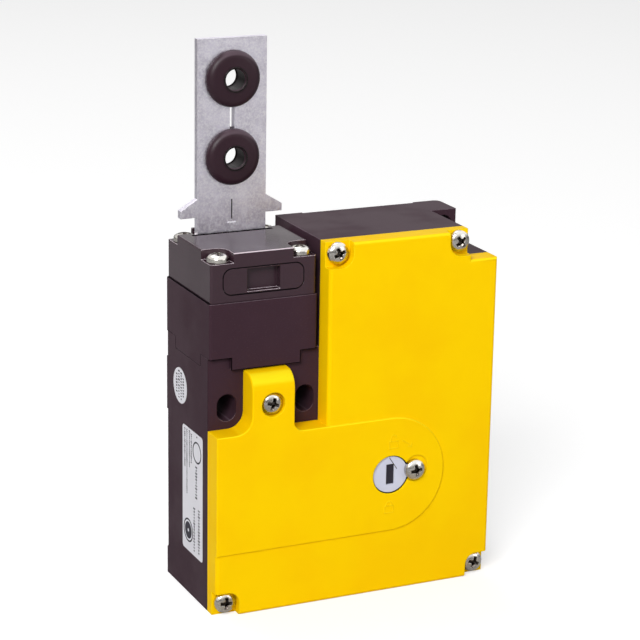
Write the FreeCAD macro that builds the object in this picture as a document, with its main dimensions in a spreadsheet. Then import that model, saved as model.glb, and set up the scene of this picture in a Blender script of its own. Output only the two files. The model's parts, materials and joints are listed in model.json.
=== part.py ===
"""Tongue interlock switch with guard locking, as a parametric document.

The housing stands on its bottom face. X runs along the width, -Y is the yellow
cover's side and Z is up. The origin lies at the middle of the bottom. Every
driving size is in millimetres and lives once in the spreadsheet "Sizes".
"""
import FreeCAD
import Part

import math
import os
import re

import Sketcher

# For each view: the plane it draws on, and which way that plane's normal runs.
VIEWS = {"front": ("XZ_Plane", -1), "top": ("XY_Plane", 1), "side": ("YZ_Plane", 1)}
FACING_FRONT = FreeCAD.Rotation(FreeCAD.Vector(1, 0, 0), 90)
LOCK_SLOT_SLANT = 45
CAM_RIM_POINTS = 10
WIRE_SIDES = 6

# ---------------------------------------------------------------- sizes
SIZES = {
    # housing
    "body_width": 80.4, "body_depth": 29.0, "block_height": 98.0, "seam_height": 66.1,
    "side_wall": 2.5, "back_wall": 2.8, "top_wall": 2.8, "floor_height": 9.0,
    "left_ceiling": 18.6, "cavity_round": 1.0, "back_round": 1.8,
    "post_height": 3.3, "post_side": 6.1, "post_right": 4.6, "seam_gap": 0.1,
    "relief_depth": 0.7, "foot_pad": 7.7, "middle_pad_bottom": 47.4, "middle_pad_top": 62.2,
    "end_pad": 7.8,
    "notch_width": 7.8, "notch_height": 7.9, "lug_depth": 10.6,
    "lug_hole": 5.3, "lug_hole_drop": 4.2, "lug_hole_inset": 3.9,
    "slot_pitch": 22.0, "slot_width": 5.3, "slot_length": 7.3, "slot_level": 55.7,
    "slot_centre": 16.2,
    "boss_radius": 3.5, "boss_margin": 3.7, "rib_half": 6.0,
    # conduit entries
    "entry_bore": 20.0, "entry_inset": 14.5, "left_entry": 20.0, "right_entry": 58.0,
    "side_entry_level": 62.0, "side_entry_boss": 12.0, "plug_gap": 0.05,
    "plug_slot_length": 12.0, "plug_slot_width": 2.4, "plug_slot_depth": 2.0,
    # cover
    "cover_depth": 6.0, "cover_face": 2.4, "cover_round": 1.0,
    "shoulder_level": 50.0, "recess_level": 49.2,
    "ear_left": 9.8, "ear_right": 21.7, "ear_top": 65.6, "ear_brow": 4.6,
    "left_fillet": 4.5, "right_fillet": 2.5,
    "pad_height": 0.5, "pad_bottom": 17.4, "pad_radius": 15.8, "pad_round": 0.4,
    "gasket_width": 0.8, "gasket_depth": 0.9, "gasket_inset": 0.5,
    # screws
    "screw_radius": 1.5, "screw_head": 2.9, "screw_head_height": 2.2, "screw_length": 11.5,
    "crown_start": 0.4, "crown_bend": 0.9, "crown_rise": 0.8, "crown_flat": 0.6,
    "screw_gap": 0.1, "thread_gap": 0.05,
    "screw_depth": 8.6, "screw_pocket": 3.3, "corner_seat": 3.0, "ear_seat": 2.3,
    "long_screw_length": 32.5,
    "top_screw_left": 34.4, "top_screw_level": 95.0, "top_screw_right": 10.8,
    "top_pocket": 3.6,
    "foot_screw": 3.4, "ear_screw": 15.7, "ear_screw_level": 57.2,
    "seal_screw": 56.9, "seal_screw_level": 34.0, "seal_seat": 0.5, "seal_offset": 0.6,
    # head
    "head_size": 30.0, "head_gap": 1.2, "head_setback": 0.2, "head_base_height": 17.9,
    "head_cap_height": 12.9, "cap_inset": 0.35, "head_round": 0.6, "top_round": 0.4,
    "head_screw_inset": 3.6, "head_pocket": 3.1, "head_ledge": 2.6,
    "slot_entry_width": 22.6, "slot_entry_depth": 7.0, "slot_entry_round": 2.4,
    "front_entry_drop": 3.9, "plug_flange": 1.6, "plug_depth": 3.4,
    "plug_body_width": 18.0, "plug_recess_width": 9.1, "plug_recess_margin": 0.4,
    "plug_recess_depth": 2.0, "tunnel_floor": 5.5,
    # tongue
    "tongue_inset": 8.4, "tongue_gap": 0.15, "tongue_thickness": 2.0, "tongue_width": 19.3,
    "tongue_lead": 1.5, "tongue_travel": 20.0, "tongue_bottom": 78.0, "tongue_top": 148.0,
    "wing_span": 28.6, "wing_level": 101.35, "wing_tip": 2.0, "wing_root": 4.85,
    "window_width": 7.4, "window_bottom": 82.0, "window_top": 91.0,
    "eye_lower": 116.9, "eye_pitch": 20.5, "eye_radius": 4.6, "slit_width": 1.3,
    "grommet_radius": 7.45, "grommet_rise": 2.3, "hub_radius": 4.0, "hub_rise": 2.6,
    "rim_share": 0.45, "rim_slope": 1.3, "hub_valley": 0.5,
    "sleeve_radius": 3.3, "sleeve_bore": 2.95,
    # head mechanism
    "cam_inset": 15.5, "cam_width": 6.4, "cam_radius": 6.0, "cam_rise": 3.0,
    "cam_pitch_radius": 8.0, "cam_margin": 8.0, "cam_tooth": 10.4, "cam_tooth_width": 2.8,
    "cam_pin_radius": 1.5, "cam_pin_length": 20.0,
    "chamber_radius": 11.0, "chamber_width": 10.0, "run_gap": 0.05,
    "plunger_radius": 2.5, "plunger_bottom": 20.3, "plunger_gap": 0.25, "plunger_travel": 3.0,
    "plunger_dome": 1.0, "plunger_collar": 3.6, "collar_height": 1.2, "spring_wire": 0.35,
    "plunger_spring_turns": 4.0, "spring_bore": 4.1, "spring_ceiling": 59.5,
    "plunger_shoulder": 57.0,
    "seal_radius": 4.2, "seal_height": 2.0,
    # contact block
    "block_left": 4.5, "block_right": 25.5, "block_bottom": 24.0, "block_top": 46.5,
    "block_front": 25.0, "upper_contact": 40.5, "contact_pitch": 9.0,
    "bridge_length": 15.0, "bridge_width": 7.0, "bridge_thickness": 1.0,
    "contact_gap": 0.15, "contact_thickness": 0.8, "contact_width": 3.6,
    "contact_offset": 5.4, "window_reach": 9.0, "window_half": 4.5, "terminal_size": 5.0,
    "terminal_screw": 2.0, "terminal_thread": 1.2, "terminal_length": 5.0, "terminal_head": 1.6,
    # lock
    "lock_level": 15.5, "lock_height": 4.0, "lock_depth": 6.0, "lock_gap": 0.4,
    "lock_travel": 4.0, "lock_plate_left": 40.0, "lock_plate_right": 58.0,
    "lock_plate_bottom": 12.0, "lock_plate_top": 24.0, "lock_plate_thickness": 2.5,
    "lock_pin_radius": 1.0, "lock_pin_level": 18.0,
    "guide_left": 27.0, "guide_right": 36.0, "guide_gap": 0.1,
    # solenoid
    "coil_centre": 50.0, "coil_inset": 15.5, "coil_radius": 10.6, "bobbin_tube": 5.6,
    "bobbin_bore": 4.1, "bobbin_flange": 1.5, "yoke_width": 26.0, "yoke_bottom": 48.0,
    "yoke_top": 90.0, "yoke_plate": 2.0, "yoke_depth": 12.0, "armature_radius": 4.0,
    "armature_top": 76.0, "core_gap": 4.4, "core_neck": 2.5, "rod_radius": 2.5,
    "rod_bottom": 14.6, "collar_level": 34.6, "collar_radius": 5.4, "collar_flat": 3.1,
    "collar_thickness": 1.2, "armature_spring_turns": 4.0,
    # release
    "release_centre": 50.0, "release_level": 33.3, "release_radius": 5.15,
    "release_sink": 0.6, "release_thickness": 1.9, "release_gap": 0.2,
    "release_shaft": 2.8, "release_end": 22.2, "crank_radius": 2.4, "crank_pin": 0.8,
    "crank_end": 18.6, "key_slot_width": 2.4, "key_slot_length": 5.7, "key_slot_depth": 1.5,
    "release_wall": 0.6, "ring_section": 0.7, "clip_radius": 3.2, "clip_groove": 2.2,
    "clip_level": 28.2, "clip_thickness": 0.7, "clip_mouth": 0.7,
    # switches and terminals on the right
    "monitor_left": 63.6, "monitor_right": 4.4, "monitor_bottom": 11.0, "monitor_top": 25.0,
    "monitor_front": 21.5, "strip_left": 62.0, "strip_right": 3.4, "strip_bottom": 28.0,
    "strip_top": 45.0, "strip_front": 16.0, "button_reach": 1.2,
    # labels
    "label_thickness": 0.2, "label_round": 1.0, "label_gap": 0.05, "sticker_radius": 4.9,
    "sticker_inset": 9.6, "sticker_level": 56.6,
    "label_back": 11.3, "label_front": 25.6, "label_bottom": 12.0, "label_top": 46.8,
}

# ---------------------------------------------------------------- places
BACK = "((body_depth + cover_depth + pad_height + screw_head_height - seal_seat) / 2)"
LEFT = "(-body_width / 2)"
RIGHT = "(body_width / 2)"
PARTING = f"({BACK} - body_depth)"
PANEL = f"({PARTING} - cover_depth)"
FRONT = f"({PANEL} - pad_height)"
BLOCK_LEFT = f"({LEFT} + head_size + head_gap)"
BLOCK_TOP = "block_height"
HEAD_X = f"({LEFT} + head_size / 2)"
HEAD_BACK = f"({BACK} - head_setback)"
HEAD_FRONT = f"({HEAD_BACK} - head_size)"
HEAD_Y = f"({HEAD_BACK} - head_size / 2)"
CAP_LEVEL = "(seam_height + head_base_height)"
HEAD_TOP = f"({CAP_LEVEL} + head_cap_height)"
CAM_Y = f"({BACK} - cam_inset)"
COIL_X = f"({LEFT} + coil_centre)"
COIL_Y = f"({BACK} - coil_inset)"
RELEASE_X = f"({LEFT} + release_centre)"
CAVITY_BACK = f"({BACK} - relief_depth - back_wall)"
TUNNEL_FRONT = f"({BACK} - tongue_inset - tongue_gap)"
TUNNEL_BACK = f"({TUNNEL_FRONT} + slot_entry_depth)"
NOTCH_LEFT = f"({RIGHT} - notch_width)"
NOTCH_LEVEL = "(block_height - notch_height)"
EAR_LEFT = f"({LEFT} + ear_left)"
EAR_RIGHT = f"({LEFT} + ear_right)"
SEAL_X = f"({LEFT} + seal_screw)"

doc = FreeCAD.newDocument("tongue_interlock_switch")
sheet = doc.addObject("Spreadsheet::Sheet", "Sizes")
for row, (alias, number) in enumerate(SIZES.items(), start=1):
    sheet.set(f"A{row}", alias.replace("_", " "))
    sheet.set(f"B{row}", str(number))
    sheet.setAlias(f"B{row}", alias)
doc.recompute()

nodes = []


# ---------------------------------------------------------------- helpers
def bound(text):
    """Returns the expression with each size word pointing at the sheet."""
    return re.sub(r"[a-z_]{3,}", lambda word: f"Sizes.{word.group()}"
                  if word.group() in SIZES else word.group(), text)


def value(text):
    """Returns the number that an expression gives now."""
    return float(sheet.evalExpression(bound(text)))


def minus(text):
    """Returns the expression with its sign turned."""
    return f"(-({text}))"


def fix(sketch, kind, geometry, point, text):
    """Adds a distance constraint from the sketch's origin, bound to an expression."""
    index = sketch.addConstraint(
        Sketcher.Constraint(kind, -1, 1, geometry, point, value(text)))
    sketch.setExpression(f"Constraints[{index}]", bound(text))


def circle(across, along, radius):
    """Draws a circle about a point of the sketch."""
    def draw(sketch):
        centre = FreeCAD.Vector(value(across), value(along), 0)
        ring = sketch.addGeometry(
            Part.Circle(centre, FreeCAD.Vector(0, 0, 1), value(radius)), False)
        fix(sketch, "DistanceX", ring, 3, across)
        fix(sketch, "DistanceY", ring, 3, along)
        index = sketch.addConstraint(Sketcher.Constraint("Radius", ring, value(radius)))
        sketch.setExpression(f"Constraints[{index}]", bound(radius))
    return draw


def loop(*corners):
    """Draws a closed outline; a corner (x, y, radius) is rounded between square edges."""
    def draw(sketch):
        count = len(corners)
        spots = [FreeCAD.Vector(value(c[0]), value(c[1]), 0) for c in corners]
        ends = []
        for k, corner in enumerate(corners):
            if len(corner) == 2:
                ends.append((spots[k], spots[k], None))
                continue
            radius = value(corner[2])
            before = (spots[k] - spots[k - 1]).normalize()
            after = (spots[(k + 1) % count] - spots[k]).normalize()
            start, stop = spots[k] - before * radius, spots[k] + after * radius
            centre = start + after * radius
            first = 1 if before.cross(after).z > 0 else 2
            spoke = (start if first == 1 else stop) - centre
            begin = math.atan2(spoke.y, spoke.x)
            ring = Part.Circle(centre, FreeCAD.Vector(0, 0, 1), radius)
            arc = sketch.addGeometry(Part.ArcOfCircle(ring, begin, begin + math.pi / 2), False)
            ends.append((start, stop, (arc, first, 3 - first)))
            place_arc(sketch, arc, first, corner, before, after)
        for k in range(count):
            begin, finish = ends[k][1], ends[(k + 1) % count][0]
            line = sketch.addGeometry(Part.LineSegment(begin, finish), False)
            ends[k] += (line,)
        for k in range(count):
            line, arc, previous = ends[k][3], ends[k][2], ends[k - 1][3]
            if arc is None:
                sketch.addConstraint(Sketcher.Constraint("Coincident", previous, 2, line, 1))
                fix(sketch, "DistanceX", line, 1, corners[k][0])
                fix(sketch, "DistanceY", line, 1, corners[k][1])
            else:
                sketch.addConstraint(Sketcher.Constraint("Coincident", previous, 2, arc[0], arc[1]))
                sketch.addConstraint(Sketcher.Constraint("Coincident", arc[0], arc[2], line, 1))
    return draw


def place_arc(sketch, arc, first, corner, before, after):
    """Constrains the arc of a rounded corner by its centre, radius and two ends."""
    across, along, radius = corner
    shift = after - before
    centre_x = f"({across} + ({shift.x:.0f}) * ({radius}))"
    centre_y = f"({along} + ({shift.y:.0f}) * ({radius}))"
    fix(sketch, "DistanceX", arc, 3, centre_x)
    fix(sketch, "DistanceY", arc, 3, centre_y)
    index = sketch.addConstraint(Sketcher.Constraint("Radius", arc, value(radius)))
    sketch.setExpression(f"Constraints[{index}]", bound(radius))
    if abs(before.x) > 0.5:
        fix(sketch, "DistanceX", arc, first, centre_x)
        fix(sketch, "DistanceY", arc, 3 - first, centre_y)
    else:
        fix(sketch, "DistanceY", arc, first, centre_y)
        fix(sketch, "DistanceX", arc, 3 - first, centre_x)


def box(left, bottom, right, top, rounding=None):
    """Draws a rectangle between two corners, rounded when a radius is given."""
    spots = [(left, bottom), (right, bottom), (right, top), (left, top)]
    if rounding:
        spots = [spot + (rounding,) for spot in spots]
    return loop(*spots)


def obround(across, along, width, length):
    """Draws an upright slot with round ends about a point."""
    radius = f"({width}) / 2"
    reach = f"(({length}) - ({width})) / 2"

    def draw(sketch):
        x, y, r, s = value(across), value(along), value(radius), value(reach)
        upright = FreeCAD.Vector(0, 0, 1)
        arcs = []
        for side in (1, -1):
            ring = Part.Circle(FreeCAD.Vector(x, y + side * s, 0), upright, r)
            begin = 0 if side > 0 else math.pi
            arcs.append(sketch.addGeometry(Part.ArcOfCircle(ring, begin, begin + math.pi), False))
        lines = [sketch.addGeometry(Part.LineSegment(
            FreeCAD.Vector(x - r, y + s, 0), FreeCAD.Vector(x - r, y - s, 0)), False)]
        lines.append(sketch.addGeometry(Part.LineSegment(
            FreeCAD.Vector(x + r, y - s, 0), FreeCAD.Vector(x + r, y + s, 0)), False))
        for k, sign in enumerate("+-"):
            level = f"({along} {sign} {reach})"
            fix(sketch, "DistanceX", arcs[k], 3, across)
            fix(sketch, "DistanceY", arcs[k], 3, level)
            index = sketch.addConstraint(Sketcher.Constraint("Radius", arcs[k], r))
            sketch.setExpression(f"Constraints[{index}]", bound(radius))
            fix(sketch, "DistanceY", arcs[k], 1, level)
            fix(sketch, "DistanceY", arcs[k], 2, level)
            sketch.addConstraint(Sketcher.Constraint("Coincident", arcs[k], 2, lines[k], 1))
            sketch.addConstraint(Sketcher.Constraint("Coincident", arcs[1 - k], 1, lines[k], 2))
    return draw


class Piece:
    """One sub-part: a body and the features added to it in turn."""

    def __init__(self, label, at=None, turn=None, listed=True):
        self.body = doc.addObject("PartDesign::Body", label)
        self.body.Label = label
        if turn:
            self.body.Placement = FreeCAD.Placement(FreeCAD.Vector(), turn)
        for axis, text in zip("xyz", at or ()):
            self.body.setExpression(f"Placement.Base.{axis}", bound(text))
        if listed:
            nodes.append(self.body)

    def sketch(self, view, level, *shapes, angle=0, at=("0", "0")):
        plane, _ = VIEWS[view]
        sketch = self.body.newObject("Sketcher::SketchObject", "Sketch")
        origin = self.body.Origin.OriginFeatures
        sketch.AttachmentSupport = [(next(f for f in origin if f.Role == plane), "")]
        sketch.MapMode = "FlatFace"
        if angle:
            spin = FreeCAD.Rotation(FreeCAD.Vector(0, 0, 1), angle)
            sketch.AttachmentOffset = FreeCAD.Placement(FreeCAD.Vector(), spin)
        for axis, text in zip("xyz", (*at, level)):
            sketch.setExpression(f"AttachmentOffset.Base.{axis}", bound(text))
        for shape in shapes:
            shape(sketch)
        sketch.recompute()
        return sketch

    def refresh(self):
        """Recomputes the newest feature, so that the next one can read it."""
        self.body.Tip.recompute()
        return self

    def extrude(self, kind, view, low, high, shapes, **place):
        """Pads or pockets shapes between two levels along the view's axis."""
        way = VIEWS[view][1]
        near, far = (low, high) if way > 0 else (minus(high), minus(low))
        level = near if kind == "Pad" else far
        feature = self.body.newObject(f"PartDesign::{kind}", kind)
        feature.Profile = self.sketch(view, level, *shapes, **place)
        feature.setExpression("Length", bound(f"({high}) - ({low})"))
        return self.refresh()

    def add(self, view, low, high, *shapes, **place):
        return self.extrude("Pad", view, low, high, shapes, **place)

    def cut(self, view, low, high, *shapes, **place):
        return self.extrude("Pocket", view, low, high, shapes, **place)

    def revolve(self, kind, *profile):
        """Turns a half profile of (radius, height) about the body's own Z axis."""
        feature = self.body.newObject(f"PartDesign::{kind}", kind)
        feature.Profile = self.sketch("front", "0", loop(*profile))
        feature.ReferenceAxis = (feature.Profile[0], ["V_Axis"])
        feature.Angle = 360
        return self.refresh()

    def soften(self, kind, size, **where):
        """Fillets or chamfers the edges that lie at the places given."""
        base = self.body.Tip
        names = edges_at(base.Shape, **where)
        feature = self.body.newObject(f"PartDesign::{kind}", kind)
        feature.Base = (base, names)
        feature.setExpression("Radius" if kind == "Fillet" else "Size", bound(size))
        return self.refresh()


def edges_at(shape, **where):
    """Names the edges whose every point has the given coordinates."""
    wanted = {axis: [value(text) for text in (texts if isinstance(texts, tuple) else (texts,))]
              for axis, texts in where.items() if axis in "xyz"}
    names = []
    for number, edge in enumerate(shape.Edges, start=1):
        low, high = edge.FirstParameter, edge.LastParameter
        spots = [edge.valueAt(low + (high - low) * part) for part in (0, 0.5, 1)]
        if all(any(max(abs(getattr(spot, axis) - level) for spot in spots) < 1e-4
                   for level in levels) for axis, levels in wanted.items()):
            names.append(f"Edge{number}")
    return names


def group(label, first, places):
    """Lists a fastener and its copies, one solid at each place, as one node."""
    members = [first.body]
    for place in places[1:]:
        copy = doc.addObject("App::Link", f"{label}_copy")
        copy.LinkedObject = first.body
        copy.LinkTransform = False
        copy.Placement = first.body.Placement
        for axis, text in zip("xyz", place):
            copy.setExpression(f"Placement.Base.{axis}", bound(text))
        members.append(copy)
    compound = doc.addObject("Part::Compound", label)
    compound.Label = label
    compound.Links = members
    nodes.append(compound)


# ---------------------------------------------------------------- shared outlines
def cover_outline(inset="0"):
    """Returns the cover's front outline with its ear, moved inwards by an inset."""
    low, high = f"{LEFT} + ({inset})", f"{RIGHT} - ({inset})"
    side = f"{BLOCK_LEFT} + ({inset})"
    notch = f"{NOTCH_LEFT} - ({inset})"
    ear_low, ear_high = f"{EAR_LEFT} + ({inset})", f"{EAR_RIGHT} - ({inset})"
    return loop(
        (low, inset), (high, inset), (high, f"{NOTCH_LEVEL} - ({inset})"),
        (notch, f"{NOTCH_LEVEL} - ({inset})"), (notch, f"block_height - ({inset})"),
        (side, f"block_height - ({inset})"), (side, f"recess_level - ({inset})"),
        (ear_high, f"recess_level - ({inset})", f"right_fillet + ({inset})"),
        (ear_high, f"ear_top - ({inset})"), (ear_low, f"ear_top - ({inset})"),
        (ear_low, f"shoulder_level - ({inset})", f"left_fillet + ({inset})"),
        (low, f"shoulder_level - ({inset})"))


def cavity_outline():
    """Returns the outline of the space for the contacts, the solenoid and the wires."""
    low, high = f"{LEFT} + side_wall", f"{RIGHT} - side_wall"
    side = f"{BLOCK_LEFT} + side_wall"
    left_boss, right_boss = (f"{LEFT} + top_screw_left + boss_margin",
                             f"{RIGHT} - top_screw_right - boss_margin")
    ceiling = "seam_height - left_ceiling"
    corners = [
        (low, "floor_height"), (high, "floor_height"), (high, f"{NOTCH_LEVEL} - top_wall"),
        (right_boss, f"{NOTCH_LEVEL} - top_wall"), (right_boss, "block_height - top_wall"),
        (left_boss, "block_height - top_wall"), (left_boss, "top_screw_level - boss_margin"),
        (side, "top_screw_level - boss_margin"), (side, ceiling), (low, ceiling)]
    return loop(*[corner + ("cavity_round",) for corner in corners])


def cover_screw_spots():
    """Returns the places of the cover's screws, the one beside the release last."""
    foot_left, foot_right = f"{LEFT} + foot_screw", f"{RIGHT} - foot_screw"
    return [(foot_left, "foot_screw"), (foot_right, "foot_screw"),
            (f"{LEFT} + top_screw_left", "top_screw_level"),
            (f"{RIGHT} - top_screw_right", "top_screw_level"),
            (f"{LEFT} + ear_screw", "ear_screw_level"), (SEAL_X, "seal_screw_level")]


def head_screw_spots():
    """Returns the places of the four long screws of the head."""
    reach = "(head_size / 2 - head_screw_inset)"
    return [(f"{HEAD_X} {a} {reach}", f"{HEAD_Y} {b} {reach}") for a in "-+" for b in "-+"]


# ---------------------------------------------------------------- housing and cover
def make_housing():
    """Black moulded box: head seat with four posts, cavity, lug and conduit entries."""
    piece = Piece("housing")
    piece.add("front", PARTING, BACK, loop(
        (LEFT, "0"), (RIGHT, "0"), (RIGHT, BLOCK_TOP), (BLOCK_LEFT, BLOCK_TOP),
        (BLOCK_LEFT, "seam_height"), (LEFT, "seam_height")))
    piece.soften("Fillet", "back_round", x=RIGHT, y=BACK)
    post_front = f"{HEAD_FRONT} + post_side"
    post_back = f"{HEAD_BACK} - post_side"
    post_left, post_right = f"{LEFT} + post_side", f"{LEFT} + head_size - post_right"
    piece.add("top", "seam_height", "seam_height + post_height",
              box(LEFT, PARTING, post_left, post_front), box(LEFT, post_back, post_left, BACK),
              box(post_right, PARTING, BLOCK_LEFT, post_front),
              box(post_right, post_back, BLOCK_LEFT, BACK))
    piece.cut("front", PARTING, CAVITY_BACK, cavity_outline())
    piece.add("front", PARTING, CAVITY_BACK, circle(SEAL_X, "seal_screw_level", "boss_radius"))
    rib_left, rib_right = f"{COIL_X} - rib_half", f"{COIL_X} + rib_half"
    piece.add("front", f"{COIL_Y} + yoke_depth / 2", CAVITY_BACK,
              box(rib_left, "yoke_bottom", rib_right, "yoke_bottom + yoke_plate"),
              box(rib_left, "yoke_top - yoke_plate", rib_right, "yoke_top"))
    entry_y = f"{BACK} - entry_inset"
    piece.add("side", f"{RIGHT} - floor_height", f"{RIGHT} - side_wall",
              box(f"{entry_y} - side_entry_boss", "side_entry_level - side_entry_boss",
                  f"{entry_y} + side_entry_boss", "side_entry_level + side_entry_boss"))
    piece.cut("side", f"{RIGHT} - floor_height", RIGHT,
              circle(entry_y, "side_entry_level", "entry_bore / 2"))
    piece.cut("top", "0", "floor_height",
              circle(f"{LEFT} + left_entry", entry_y, "entry_bore / 2"),
              circle(f"{LEFT} + right_entry", entry_y, "entry_bore / 2"))
    piece.cut("front", PARTING, f"{BACK} - lug_depth",
              box(NOTCH_LEFT, NOTCH_LEVEL, RIGHT, BLOCK_TOP))
    piece.cut("front", f"{BACK} - lug_depth", BACK, circle(
        f"{RIGHT} - lug_hole_inset", "block_height - lug_hole_drop", "lug_hole / 2"))
    for sign in "-+":
        piece.cut("front", PARTING, BACK, obround(
            f"{LEFT} + slot_centre {sign} slot_pitch / 2", "slot_level", "slot_width",
            "slot_length"))
    piece.cut("front", f"{BACK} - relief_depth", BACK,
              box(LEFT, "foot_pad", RIGHT, "middle_pad_bottom"),
              box(LEFT, "middle_pad_top", f"{LEFT} + head_size", "seam_height + post_height"),
              box(f"{BLOCK_LEFT} + end_pad", "middle_pad_top", f"{RIGHT} - end_pad", BLOCK_TOP))
    cut_plunger_bore(piece)
    piece.cut("front", PARTING, f"{PARTING} + screw_depth",
              *[circle(x, z, "screw_radius + thread_gap") for x, z in cover_screw_spots()])
    piece.cut("top", f"{HEAD_TOP} - head_ledge - long_screw_length - head_setback",
              "seam_height + post_height",
              *[circle(x, y, "screw_radius + thread_gap") for x, y in head_screw_spots()])
    piece.cut("side", LEFT, f"{LEFT} + label_thickness",
              circle(f"{BACK} - sticker_inset", "sticker_level", "sticker_radius"),
              box(f"{BACK} - label_front", "label_bottom", f"{BACK} - label_back", "label_top",
                  "label_round"))


def cut_plunger_bore(piece):
    """Cuts the stepped bore under the head: seal seat, guide and spring chamber."""
    piece.cut("top", "seam_height - left_ceiling", "seam_height",
              circle(HEAD_X, CAM_Y, "plunger_radius + run_gap"))
    piece.cut("top", "seam_height - left_ceiling", "spring_ceiling",
              circle(HEAD_X, CAM_Y, "spring_bore"))
    piece.cut("top", "seam_height - seal_height", "seam_height",
              circle(HEAD_X, CAM_Y, "seal_radius"))


def make_cover():
    """Yellow hollow cover with the ear, the raised panel and its screw pockets."""
    piece = Piece("cover")
    piece.add("front", PANEL, PARTING, cover_outline())
    piece.soften("Fillet", "cover_round", y=PANEL)
    pad_right = f"{RELEASE_X} + pad_radius"
    piece.add("front", FRONT, PARTING, loop(
        (LEFT, "pad_bottom"), (pad_right, "pad_bottom", "pad_radius"),
        (pad_right, "recess_level", "pad_radius"), (EAR_RIGHT, "recess_level", "right_fillet"),
        (EAR_RIGHT, "ear_top"), (EAR_LEFT, "ear_top"),
        (EAR_LEFT, "shoulder_level", "left_fillet"), (LEFT, "shoulder_level")))
    piece.soften("Fillet", "ear_brow", y=FRONT, z="ear_top")
    piece.soften("Fillet", "pad_round", y=FRONT)
    piece.cut("front", f"{PANEL} + cover_face", PARTING, cavity_outline())
    piece.add("front", f"{PANEL} + cover_face", PARTING,
              circle(SEAL_X, "seal_screw_level", "boss_radius"))
    piece.add("front", f"{PANEL} + cover_face", PARTING,
              circle(RELEASE_X, "release_level", "release_radius + release_wall"))
    cut_corner_pockets(piece)
    piece.cut("front", FRONT, f"{FRONT} + ear_seat",
              circle(f"{LEFT} + ear_screw", "ear_screw_level", "screw_pocket"))
    piece.cut("front", FRONT, f"{FRONT} + seal_seat",
              circle(SEAL_X, "seal_screw_level", "screw_pocket"))
    piece.cut("front", FRONT, f"{FRONT} + seal_seat", circle(
        f"{SEAL_X} + seal_offset", "seal_screw_level + seal_offset", "screw_pocket"))
    disc_back = f"{FRONT} + release_sink + release_thickness + run_gap"
    for depth, radius in ((disc_back, "release_radius + release_gap"),
                          (f"{disc_back} + 2 * ring_section + release_gap",
                           "release_shaft + 2 * ring_section + release_gap"),
                          (PARTING, "release_shaft + run_gap")):
        piece.cut("front", FRONT, depth, circle(RELEASE_X, "release_level", radius))
    piece.cut("front", FRONT, PARTING,
              *[circle(x, z, "screw_radius + screw_gap") for x, z in cover_screw_spots()])
    piece.cut("front", f"{PARTING} - gasket_depth", PARTING, cover_outline("gasket_inset"),
              cover_outline("gasket_inset + gasket_width"))


def cut_corner_pockets(piece):
    """Cuts the open pockets where the four corner screws sit below the face."""
    foot = "foot_screw + screw_pocket"
    top = "top_screw_level - top_pocket"
    top_left = f"{LEFT} + top_screw_left + top_pocket"
    top_right = f"{RIGHT} - top_screw_right - top_pocket"
    piece.cut("front", FRONT, f"{PANEL} + corner_seat",
              loop((LEFT, "0"), (f"{LEFT} + {foot}", "0"),
                   (f"{LEFT} + {foot}", foot, "screw_pocket"), (LEFT, foot)),
              loop((RIGHT, "0"), (RIGHT, foot), (f"{RIGHT} - ({foot})", foot, "screw_pocket"),
                   (f"{RIGHT} - ({foot})", "0")),
              loop((BLOCK_LEFT, BLOCK_TOP), (BLOCK_LEFT, top), (top_left, top, "top_pocket"),
                   (top_left, BLOCK_TOP)),
              loop((NOTCH_LEFT, BLOCK_TOP), (top_right, BLOCK_TOP),
                   (top_right, top, "top_pocket"), (NOTCH_LEFT, top)))


def make_gasket():
    """Sealing cord pressed between the cover and the housing's rim."""
    piece = Piece("cover_gasket")
    piece.add("front", f"{PARTING} - gasket_depth", PARTING, cover_outline("gasket_inset"),
              cover_outline("gasket_inset + gasket_width"))


def make_labels():
    """Round sticker and rating label, each set flush in its shallow recess."""
    sticker = Piece("round_sticker")
    sticker.add("side", LEFT, f"{LEFT} + label_thickness", circle(
        f"{BACK} - sticker_inset", "sticker_level", "sticker_radius - label_gap"))
    label = Piece("rating_label")
    label.add("side", LEFT, f"{LEFT} + label_thickness", box(
        f"{BACK} - label_front + label_gap", "label_bottom + label_gap",
        f"{BACK} - label_back - label_gap", "label_top - label_gap", "label_round"))


def make_side_plug():
    """Blanking plug screwed flush into the conduit entry on the right."""
    piece = Piece("conduit_plug")
    y = f"{BACK} - entry_inset"
    piece.add("side", f"{RIGHT} - floor_height", RIGHT,
              circle(y, "side_entry_level", "entry_bore / 2 - plug_gap"))
    piece.cut("side", f"{RIGHT} - plug_slot_depth", RIGHT, box(
        f"{y} - plug_slot_length / 2", "side_entry_level - plug_slot_width / 2",
        f"{y} + plug_slot_length / 2", "side_entry_level + plug_slot_width / 2"))
    piece.cut("side", f"{RIGHT} - floor_height", f"{RIGHT} - side_wall - plug_slot_depth",
              circle(y, "side_entry_level", "entry_bore / 2 - side_wall"))


# ---------------------------------------------------------------- screws
def pan_screw(label, at, turn, length, radius="screw_radius", head="screw_head",
              height="screw_head_height"):
    """Pan-head screw: its seat at the origin, its shank going down."""
    piece = Piece(label, at=at, turn=turn, listed=False)
    return piece.revolve(
        "Revolution", ("0", minus(length)), (radius, minus(length)), (radius, "0"), (head, "0"),
        (head, f"{height} * crown_start"), (f"{head} * crown_bend", f"{height} * crown_rise"),
        (f"{head} * crown_flat", height), ("0", height))

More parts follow.
